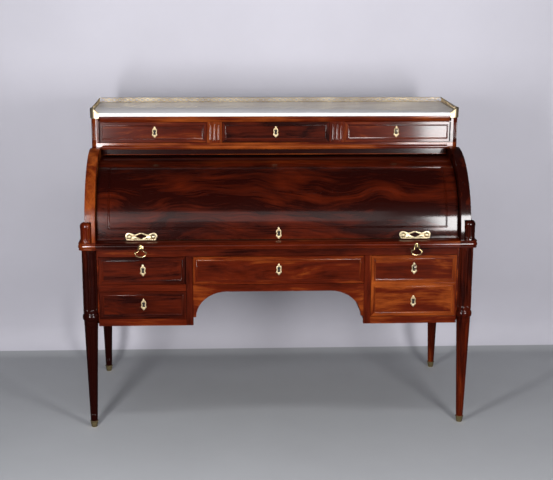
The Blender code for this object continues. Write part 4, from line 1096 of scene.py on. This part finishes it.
def make_gallery_corners(low, high, marble_low, marble_high):
    """Solid brass at each front corner: a section (distance out, height) carried along the front, round the
    corner and down the side. Its top falls from the gallery's height to the slab at the front tip."""
    far = BOX_CORNER + (high[0] - marble_high[0])
    near = BOX_CORNER + 0.0004
    top_in = BOX_CORNER - 0.0035
    slab_top = marble_high[2] + 0.0004
    centre = np.array([marble_high[0] - BOX_CORNER, marble_low[1] + BOX_CORNER])
    front = np.linspace(marble_high[0] - GALLERY_END, centre[0], 12)
    turn = np.radians(np.linspace(-90, 0, 15))[1:-1]
    tail = np.linspace(centre[1], marble_low[1] + GALLERY_END, 4)
    base = np.concatenate([np.stack([front, np.full(12, centre[1])], -1), np.tile(centre, (13, 1)),
                           np.stack([np.full(4, centre[0]), tail], -1)])
    out = np.concatenate([np.tile((0.0, -1.0), (12, 1)), np.stack([np.cos(turn), np.sin(turn)], -1),
                          np.tile((1.0, 0.0), (4, 1))])
    along = np.clip((base[:, 0] + out[:, 0] * far - front[0]) / (GALLERY_END - GALLERY_LEVEL), 0, 1)
    top = slab_top + GALLERY_TIP + (high[2] - slab_top - GALLERY_TIP) * along ** 1.2
    ones = np.ones(len(top))
    section = [(near, low[2] * ones), (far - 0.001, low[2] * ones), (far, (low[2] + 0.001) * ones),
               (far, top - 0.0012),
               (far - 0.0004, top - 0.0004), (far - 0.0012, top), (top_in + 0.0008, top),
               (top_in, top - 0.0008),
               (top_in, slab_top * ones), (near, slab_top * ones)]
    for side, hand in SIDES:
        rows = [np.stack([hand * (base[:, 0] + out[:, 0] * reach), base[:, 1] + out[:, 1] * reach, z],
                         -1) for reach, z in section]
        points = np.stack(rows, 1).reshape(-1, 3)
        size = len(section)
        faces = quads(len(top), size, wrap_columns=True)
        faces += [list(range(size)), list(range((len(top) - 1) * size, len(top) * size))]
        finish_piece(f"gallery_corner_{side}", [(points, faces)], [gilt_brass(0.5, "corner_brass", 0.42)],
                     "case", ())


# ---------------------------------------------------------------- brass fittings


SHIELD = np.array([  # half width against height, both in half heights, from the foot
    (0.03, -1.0), (0.14, -0.92), (0.18, -0.80), (0.34, -0.64), (0.50, -0.50), (0.42, -0.30), (0.35, -0.10),
    (0.41, 0.12), (0.43, 0.38), (0.31, 0.58), (0.16, 0.72), (0.15, 0.86), (0.10, 0.95), (0.03, 1.0)])
KEYHOLE = np.array([(0.06, -1.0), (0.22, -0.95), (0.18, -0.2), (0.18, 0.15), (0.24, 0.35), (0.27, 0.6),
                    (0.22, 0.88), (0.06, 1.0)])


def side_outline(profile, count=96):
    """A closed outline from a table of half widths: the point at angle a lies at height sin a, and its
    distance from the middle is the table's width there, on the side that cos a points to."""
    a = 2 * pi * (np.arange(count) + 0.5) / count
    width = np.interp(np.sin(a), profile[:, 1], profile[:, 0])
    return np.stack([np.sign(np.cos(a)) * width, np.sin(a)], -1)


def escutcheon(x, z, front, look):
    """A shield pierced by a keyhole, over a dark patch."""
    scale = look.escutcheon_height / 2
    outer = side_outline(SHIELD) * scale + (x, z)
    inner = side_outline(KEYHOLE) * (scale, scale * 0.42) + (x, z - scale * 0.04)
    brass = plate(outer, inner, front, 0.0010, 0.0005)
    # dark: a black sheet behind the keyhole, painted shade standing for the inside of the lock
    dark = brick((x - scale * 0.29, front - 0.0003, z - scale * 0.47),
                 (x + scale * 0.29, front + 0.0004, z + scale * 0.40), 0.0001)
    return [(*brass, 0), (*dark, 1)]


def keyhole_painted_shade():
    """Soot-dark inside of a keyhole."""
    name = "keyhole_shadow"
    if name in bpy.data.materials:
        return bpy.data.materials[name]
    material, wires, shader, mapping = new_shader(name)
    shade_speckle = wires.noise(mapping.outputs["Vector"], scale=300.0)
    wires.link(wires.mix(shade_speckle, (0.004, 0.003, 0.003, 1), (0.012, 0.008, 0.006, 1)),
               shader.inputs["Base Color"])
    wires.link(wires.spread(shade_speckle, 0.3, 0.7, 0.6, 0.9), shader.inputs["Roughness"])
    return material


def make_escutcheons(look):
    """A plate on each drawer front and on the fall."""
    def at(node, x, z):
        escutcheon_parts = escutcheon(x, z, box_of(node)[0][1], look)
        finish_piece(f"escutcheon_{node}_{round(z * 1000)}", escutcheon_parts,
                     [gilt_brass(0.8, "escutcheon_brass", 0.50), keyhole_painted_shade()], node, (),
                     sharp=40)

    at("drawer_left_upper", -0.533, 0.650)
    at("drawer_left_lower", -0.533, 0.5115)
    at("drawer_right_deep", middle_of("key_right_pedestal")[0], 0.650)
    at("drawer_right_deep", middle_of("key_right_pedestal")[0], 0.5155)
    at("drawer_centre", 0.0, 0.650)
    at("drawer_top_left", -0.493, 1.152)
    at("drawer_top_centre", 0.0, 1.152)
    at("drawer_top_right", 0.495, 1.152)
    axis_z = fall_axis()[1]
    front = box_of("fall_shell")[0][1] + GAP
    parts = escutcheon(0.0, axis_z + 0.016, front, look)
    finish_piece("escutcheon_fall", parts, [gilt_brass(0.8, "escutcheon_brass", 0.50), keyhole_painted_shade()],
                 "fall", (), sharp=40)


def make_keys(look):
    """A bow and a shank for each key. The bow is the closed wire (b cos a, b sin a (1 + 0.06 cos 2a))."""
    for node, body in (("key_top_right", "key_top"), ("key_right_pedestal", "key_pedestal")):
        low, high = box_of(node)
        x, _, z = middle_of(node)
        bow = (high[2] - low[2]) / 2
        wire = 0.0021
        shank = 0.0023
        centre = low[1] + bow
        a = 2 * pi * np.arange(36) / 36
        ring = np.stack([np.full(36, x), centre + (bow - wire) * np.cos(a),
                         z + (bow - wire) * np.sin(a) * (1 + 0.06 * np.cos(2 * a))], -1)
        start, end = centre + bow - 2 * wire, high[1]
        steps = np.array([0, .02, .05, .08, .11, .14, .17, .2, .22, .9, 1.0])
        width = np.array([.9, 1.5, 1.55, 1.1, 1.1, 1.7, 1.7, 1.1, 1, 1, .8]) * shank
        path = np.stack([np.full(len(steps), x), start + (end - start) * steps, np.full(len(steps), z)], -1)
        parts = [tube(ring, wire, (1, 0, 0), closed=True), tube(path, width, (1, 0, 0), sides=16)]
        finish_piece(node + "_metal", parts, [key_steel()], body, node)


WAIST = 0.0052  # half height of a handle plate between its middle and its ends
POINT_RISE = 0.0108  # of the plate's middle over the waist
POINT_REACH = 0.031  # half width of the plate's pointed middle
PIERCED = (0.0230, 0.0102)  # half sizes of the lozenge
POST_OFFSET = 0.046
POST_RADIUS = 0.0056


def lozenge_plate(x, z, front, half_width, half_height):
    """Handle plate: round ends, a pointed middle above and below, and a lozenge pierced through it."""
    count = 160
    a = np.linspace(0, 2 * pi, count, endpoint=False)
    u = np.cos(a)
    end = half_height
    flat = half_width - end
    reach = np.abs(u) * half_width
    circle = np.sqrt(np.clip(end ** 2 - np.clip(reach - flat, 0, None) ** 2, 0, None))
    shoulder = np.sqrt(np.clip(end ** 2 - (flat - reach) ** 2, 0, None))
    shape = np.maximum(WAIST + POINT_RISE * np.clip(1 - reach / POINT_REACH, 0, 1), shoulder)
    height = np.where(reach > flat, circle, np.minimum(shape, half_height))
    outer = np.stack([x + np.sign(u) * reach, z + np.sign(np.sin(a)) * height], -1)
    hole_x = PIERCED[0] * u
    hole_z = PIERCED[1] * np.sign(np.sin(a)) * (1 - np.abs(u)) ** 0.9
    inner = np.stack([x + hole_x, z + hole_z], -1)
    return plate(outer, inner, front, 0.0016, 0.0014)


def make_fall_handles(look):
    """A pierced plate with two posts, and the bail that hangs between them."""
    for side, _ in SIDES:
        node = f"fall_handle_plate_{side}"
        low, high = box_of(node)
        bail_low, bail_high = box_of(f"fall_bail_{side}")
        x, _, z = middle_of(node)
        front = high[1]
        parts = [lozenge_plate(x, z, front, (high[0] - low[0]) / 2, (high[2] - low[2]) / 2)]
        wire = (bail_high[1] - bail_low[1]) / 2
        pivot = (bail_low[1] + bail_high[1]) / 2
        for sign in (-1, 1):
            at = x + sign * POST_OFFSET
            steps = np.array([0.0, 0.10, 0.20, 0.30, 0.45, 0.60, 0.75, 0.90, 0.97, 1.0])
            width = np.array([1.9, 1.9, 1.75, 1.3, 1.0, 0.95, 1.0, 0.95, 0.7, 0.3]) * POST_RADIUS
            reach = front - 0.0010 - (front - low[1] - 0.0012) * steps
            path = np.stack([np.full(len(steps), at), reach, np.full(len(steps), z)], -1)
            parts.append(tube(path, width, (1, 0, 0), sides=24))
        finish_piece(f"fall_plate_{side}", parts, [gilt_brass(0.45, "handle_brass", 0.38)], "fall", node,
                     sharp=45)
        half = (bail_high[0] - bail_low[0]) / 2 - wire
        bottom = bail_low[2] + wire
        turn = 0.006
        corner = arc((half - turn, bottom + turn), turn, 0, -90, 7)
        leg = np.array([(0.0475, z), (half - 0.001, z), (half, z - 0.001)])
        right = np.concatenate([leg, corner])
        path = np.concatenate([right * (-1, 1), right[::-1]])
        points = np.stack([x + path[:, 0], np.full(len(path), pivot), path[:, 1]], -1)
        swell = 1 + 0.35 * np.clip(1 - np.abs(path[:, 0]) / 0.05, 0, 1)
        points = tube(points, wire * np.clip(swell, 0, 1.0), (0, 1, 0), sides=12)
        finish_piece(f"fall_bail_bar_{side}", [points], [gilt_brass(0.45, "handle_brass", 0.38)],
                     f"bail_{side}", f"fall_bail_{side}")


def make_pulls(look):
    """A turned knob with three lobes, and a stirrup: two shoulders and a part of an ellipse."""
    for side, _ in SIDES:
        node = f"pull_rosette_{side}"
        low, high = box_of(node)
        ring_low, ring_high = box_of(f"pull_ring_{side}")
        x, _, z = middle_of(node)
        face, tip = high[1], low[1]
        steps = np.array([0.0, 0.03, 0.10, 0.16, 0.22, 0.34, 0.50, 0.62, 0.74, 0.86, 0.95, 1.0])
        width = np.array([0.0098, 0.0100, 0.0094, 0.0070, 0.0042, 0.0036, 0.0042, 0.0054, 0.0058, 0.0052,
                          0.0034, 0.0010])
        path = np.stack([np.full(len(steps), x), face + (tip - face) * steps, np.full(len(steps), z)], -1)
        parts = [tube(path, width, (1, 0, 0), sides=28)]
        for angle in (90, 210, 330):
            lobe = (x + 0.0078 * cos(radians(angle)), face - 0.0022, z + 0.0078 * sin(radians(angle)))
            parts.append(ball(lobe, (0.0042, 0.0024, 0.0042)))
        finish_piece(f"pull_knob_{side}", parts, [gilt_brass()], "slide", node)
        wire = (ring_high[1] - ring_low[1]) / 2
        y = (ring_low[1] + ring_high[1]) / 2
        half = (ring_high[0] - ring_low[0]) / 2 - wire
        bottom = ring_low[2] + wire
        top = z
        right = [(0.0030, top), (0.0072, top - 0.0005), (0.0084, top - 0.0050), (0.0090, top - 0.0105),
                 (0.0122, top - 0.0148),
                 (0.0165, top - 0.0163), (half, top - 0.0160), (half - 0.0003, top - 0.0195)]
        curve = arc((0.0, bottom + 0.0150), 1.0, -12, -90, 9)
        curve = np.stack([(half - 0.0012) * curve[:, 0] / cos(radians(12)),
                          bottom + 0.0150 + (curve[:, 1] - bottom - 0.0150) * 0.0150], -1)
        right = np.concatenate([right, curve])
        path = np.concatenate([right[:-1], (right * (-1, 1))[::-1]])
        points = np.stack([x + path[:, 0], np.full(len(path), y), path[:, 1]], -1)
        parts = [tube(points, wire, (0, 1, 0), sides=10)]
        parts.append(ball((x, y, bottom + 0.0005), (0.0042, wire * 0.98, 0.0026)))
        finish_piece(f"pull_stirrup_{side}", parts, [gilt_brass()], f"ring_{side}", f"pull_ring_{side}")


# ---------------------------------------------------------------- boards and inside


BOARDS = {  # node: grain, tone, figure, seed
    "frieze_rail": ("X", -0.30, 0.8, 81), "centre_apron": ("X", 0.05, 0.8, 82),
    "drawer_divider_left": ("X", -0.16, 0.6, 83),
    "pedestal_bottom_left": ("X", -0.10, 0.6, 84), "pedestal_bottom_right": ("X", 0.08, 0.6, 85),
    "partition_left": ("Z", -0.30, 0.5, 86), "partition_right": ("Z", 0.04, 0.5, 87),
    "side_panel_left": ("Y", -0.12, 1.0, 88), "side_panel_right": ("Y", -0.08, 1.0, 89),
    "back_panel_lower": ("X", -0.30, 0.6, 90), "back_panel_upper": ("X", -0.30, 0.6, 91),
    "pigeonhole_nest": ("X", -0.05, 0.6, 92)}


def make_boards(look):
    """Flat boards of the frame, with eased edges."""
    for node, (grain, tone, figure, seed) in BOARDS.items():
        eased(node, [mahogany(grain, tone, figure, seed)])
    eased("bed_board", [bare_wood("X", 9)])


# ---------------------------------------------------------------- stage


CAMERA_PLACE = (-0.236, -4.951, 1.844)
CAMERA_YAW, CAMERA_PITCH, CAMERA_ROLL = 0.049, 0.229, 0.004
CAMERA_LENS = 78.83
CAMERA_SENSOR = 36.0
WALL_PLACE, WALL_BEND, WALL_HEIGHT = 0.66, 0.13, 5.0
AMBIENT, AMBIENT_IN_POLISH = 0.20, 0.03  # strength of the sky, and of its reflection


def make_camera():
    """A camera turned by yaw, then pitch down, then roll."""
    yaw, pitch, roll = CAMERA_YAW, CAMERA_PITCH, CAMERA_ROLL
    forward = Vector((sin(yaw) * cos(pitch), cos(yaw) * cos(pitch), -sin(pitch)))
    across = Vector((cos(yaw), -sin(yaw), 0.0))
    up = across.cross(forward)
    right = across * cos(roll) + up * sin(roll)
    top = up * cos(roll) - across * sin(roll)
    data = bpy.data.cameras.new("camera")
    data.lens = CAMERA_LENS
    data.sensor_width = CAMERA_SENSOR
    camera = bpy.data.objects.new("camera", data)
    turn = Matrix((right, top, -forward)).transposed().to_4x4()
    camera.matrix_world = Matrix.Translation(CAMERA_PLACE) @ turn
    bpy.context.scene.collection.objects.link(camera)
    bpy.context.scene.camera = camera


def soft_light(name, place, aim, size, power, colour):
    """A rectangular light aimed at a point."""
    data = bpy.data.lights.new(name, "AREA")
    data.shape = "RECTANGLE"
    data.size, data.size_y = size
    data.energy = power
    data.color = colour
    light = bpy.data.objects.new(name, data)
    light.location = place
    light.rotation_euler = (Vector(aim) - Vector(place)).to_track_quat("-Z", "Y").to_euler()
    bpy.context.scene.collection.objects.link(light)
    return light


def make_stage(look):
    """A floor that sweeps up into a wall: y = wall - r + r sin a, z = r - r cos a in the bend."""
    wall, turn, height = WALL_PLACE, WALL_BEND, WALL_HEIGHT
    bend = np.radians(np.linspace(0, 90, 13))
    y = np.concatenate([[-9.0], np.linspace(-4, 0.5, 6), wall - turn + turn * np.sin(bend), [wall]])
    z = np.concatenate([[0.0], np.zeros(6), turn - turn * np.cos(bend), [height]])
    x = np.linspace(-7, 7, 9)
    grid = np.stack([np.broadcast_to(x[None], (len(y), len(x))),
                     np.broadcast_to(y[:, None], (len(y), len(x))),
                     np.broadcast_to(z[:, None], (len(y), len(x)))], -1)
    mesh = bpy.data.meshes.new("studio_sweep")
    mesh.from_pydata(grid.reshape(-1, 3).tolist(), [], quads(len(y), len(x)))
    mesh.shade_smooth()
    mesh.materials.append(studio_paint("studio_floor", look.floor, 0.75))
    mesh.materials.append(studio_paint("studio_wall", look.wall, 0.9))
    mesh.polygons.foreach_set("material_index",
                              [1 if face.center.z > 0.02 else 0 for face in mesh.polygons])
    sweep = bpy.data.objects.new("studio_sweep", mesh)
    bpy.context.scene.collection.objects.link(sweep)
    make_camera()
    sweep.visible_glossy = False
    soft_light("left_box", (-1.15, -2.25, 1.18), (0.0, 0.0, 1.0), (0.28, 1.05), look.left_power,
               (1.0, 0.99, 1.0))
    soft_light("right_box", (1.28, -2.60, 1.18), (0.1, 0.0, 1.0), (0.50, 1.05), look.right_power,
               (1.0, 0.985, 0.99))
    wash = soft_light("wall_wash", (0.0, -1.6, 3.9), (0.0, 0.9, 2.1), (4.0, 0.6), look.wash_power,
                      (0.99, 0.99, 1.0))
    wash.visible_glossy = False
    fill = soft_light("front_fill", (0.0, -6.4, 2.7), (0.0, 0.0, 0.8), (5.0, 1.6), look.fill_power,
                      (1.0, 0.97, 0.95))
    fill.visible_glossy = False
    strip = soft_light("high_strip", (-0.3, -3.3, 2.1), (0.0, -0.3, 0.9), (2.4, 1.0), look.strip_power,
                       (1.0, 0.97, 0.97))
    strip.data.use_shadow = False
    world = bpy.context.scene.world or bpy.data.worlds.new("studio")
    bpy.context.scene.world = world
    world.use_nodes = True
    tree = world.node_tree
    background = tree.nodes["Background"]
    background.inputs["Color"].default_value = (0.80, 0.82, 0.88, 1.0)
    path = tree.nodes.new("ShaderNodeLightPath")
    level = tree.nodes.new("ShaderNodeMapRange")
    level.inputs["To Min"].default_value = AMBIENT
    level.inputs["To Max"].default_value = AMBIENT_IN_POLISH
    tree.links.new(path.outputs["Is Glossy Ray"], level.inputs["Value"])
    tree.links.new(level.outputs["Result"], background.inputs["Strength"])
    bpy.context.scene.view_settings.view_transform = "Standard"


# ---------------------------------------------------------------- add-on


def length(label, words, default):
    return bpy.props.FloatProperty(name=label, description=words, default=default, unit="LENGTH")


def power(label, words, default):
    return bpy.props.FloatProperty(name=label, description=words + ", in watts", default=default)


def paint(label, words, default):
    return bpy.props.FloatVectorProperty(name=label, description=words, default=default, subtype="COLOR")


class DeskLook(bpy.types.PropertyGroup):
    """Sizes and colours of the desk's finished surfaces."""

    flutes: bpy.props.IntProperty(name="Flutes", description="Flutes round each column and leg", default=10,
                                  min=6, max=16)
    flute_depth: length("Flute depth", "Depth of the flutes", 0.0034)
    corner_radius: length("Corner radius", "Rounding of the waist moulding's corners", 0.020)
    bead_width: length("Bead width", "Width of the beads on the fronts", 0.0042)
    bead_rise: length("Bead rise", "How far the beads stand up", 0.0019)
    panel_half_width: length("Panel half width", "Half the width of the fall's panel", 0.668)
    panel_corner: length("Panel corner", "Corner radius of the fall's panel", 0.006)
    panel_first_angle: bpy.props.FloatProperty(name="Panel foot",
                                               description="Angle of the panel's lower edge, in degrees",
                                               default=7.0)
    panel_last_angle: bpy.props.FloatProperty(name="Panel top",
                                              description="Angle of the panel's upper edge, in degrees",
                                              default=66.0)
    double_line: length("False joint", "Height of the joint drawn on the deep drawer", 0.589)
    escutcheon_height: length("Escutcheon height", "Height of each escutcheon", 0.047)
    gallery_rail: length("Gallery rail", "Half the height of each gallery rail", 0.0012)
    gallery_pitch: length("Gallery pitch", "Distance between rings of one row", 0.024)
    mahogany_dark: paint("Dark mahogany", "Darkest wood", (0.013, 0.0010, 0.0003))
    mahogany_mid: paint("Mid mahogany", "Middle wood", (0.078, 0.0076, 0.0010))
    mahogany_light: paint("Light mahogany", "Palest wood", (0.29, 0.062, 0.008))
    brass: paint("Brass", "Gilt brass", (0.90, 0.76, 0.50))
    marble: paint("Marble", "Pale part of the marble", (0.88, 0.86, 0.85))
    leather: paint("Leather", "Writing surface", (0.022, 0.050, 0.030))
    floor: paint("Floor", "Studio floor", (0.335, 0.345, 0.36))
    left_power: power("Left light", "Power of the left light", 42.0)
    right_power: power("Right light", "Power of the right light", 50.0)
    wash_power: power("Wall light", "Power of the light on the wall", 44.0)
    fill_power: power("Fill light", "Power of the light behind the viewer", 20.0)
    strip_power: power("High strip", "Power of the strip over the desk", 7.0)
    wall: paint("Wall", "Studio wall", (0.60, 0.59, 0.65))


class DeskOperator:
    """Shared by the operators: each runs its piece's function with the desk's settings."""

    bl_options = {"REGISTER", "UNDO"}
    make = None

    def execute(self, context):
        type(self).make(context.scene.desk)
        return {"FINISHED"}


def operator(name, label, words, function):
    """An operator class for one group of pieces."""
    return type(f"DESK_OT_{name}", (DeskOperator, bpy.types.Operator),
                {"bl_idname": f"desk.{name}", "bl_label": label, "__doc__": words,
                 "make": staticmethod(function)})


OPERATORS = [
    operator("legs", "Legs", "Fluted columns, tapered legs and brass shoes", make_legs),
    operator("stubs", "Stub columns", "Fluted stub columns over the moulding", make_stubs),
    operator("mouldings", "Waist moulding", "Moulding round the case at writing level", make_mouldings),
    operator("slide", "Writing slide", "Sliding board with its leather", make_slide),
    operator("cheeks", "Cheeks", "Quarter-round ends of the upper case", make_cheeks),
    operator("fall", "Fall", "Curved front with its beaded panel", make_fall),
    operator("drawers", "Drawers", "Beaded drawer fronts and lined boxes", make_drawers),
    operator("upper_box", "Upper box", "Fluted stiles, floor, bead and top rail", make_upper_box),
    operator("marble", "Marble", "Slab with eased edges", make_marble),
    operator("gallery", "Gallery", "Pierced brass gallery and its corner pieces", make_gallery),
    operator("escutcheons", "Escutcheons", "Brass keyhole plates", make_escutcheons),
    operator("keys", "Keys", "Two keys in their locks", make_keys),
    operator("fall_handles", "Fall handles", "Pierced plates and bails of the fall", make_fall_handles),
    operator("pulls", "Slide pulls", "Stirrup pulls of the writing slide", make_pulls),
    operator("boards", "Boards", "Frame boards, panels and pigeonholes", make_boards),
    operator("stage", "Stage", "Floor, wall, lights and camera", make_stage),
]


class DESK_PT_panel(bpy.types.Panel):
    """Lists the desk's operators and settings."""

    bl_idname = "DESK_PT_panel"
    bl_label = "Cylinder Desk"
    bl_space_type = "VIEW_3D"
    bl_region_type = "UI"
    bl_category = "Desk"

    def draw(self, context):
        for item in OPERATORS:
            self.layout.operator(item.bl_idname)
        for name in DeskLook.__annotations__:
            self.layout.prop(context.scene.desk, name)


CLASSES = [DeskLook, *OPERATORS, DESK_PT_panel]


def register():
    for item in CLASSES:
        bpy.utils.register_class(item)
    bpy.types.Scene.desk = bpy.props.PointerProperty(type=DeskLook)


def unregister():
    del bpy.types.Scene.desk
    for item in reversed(CLASSES):
        bpy.utils.unregister_class(item)


def main():
    register()
    for item in OPERATORS:
        getattr(bpy.ops.desk, item.bl_idname.split(".")[1])()


if __name__ == "__main__":
    main()
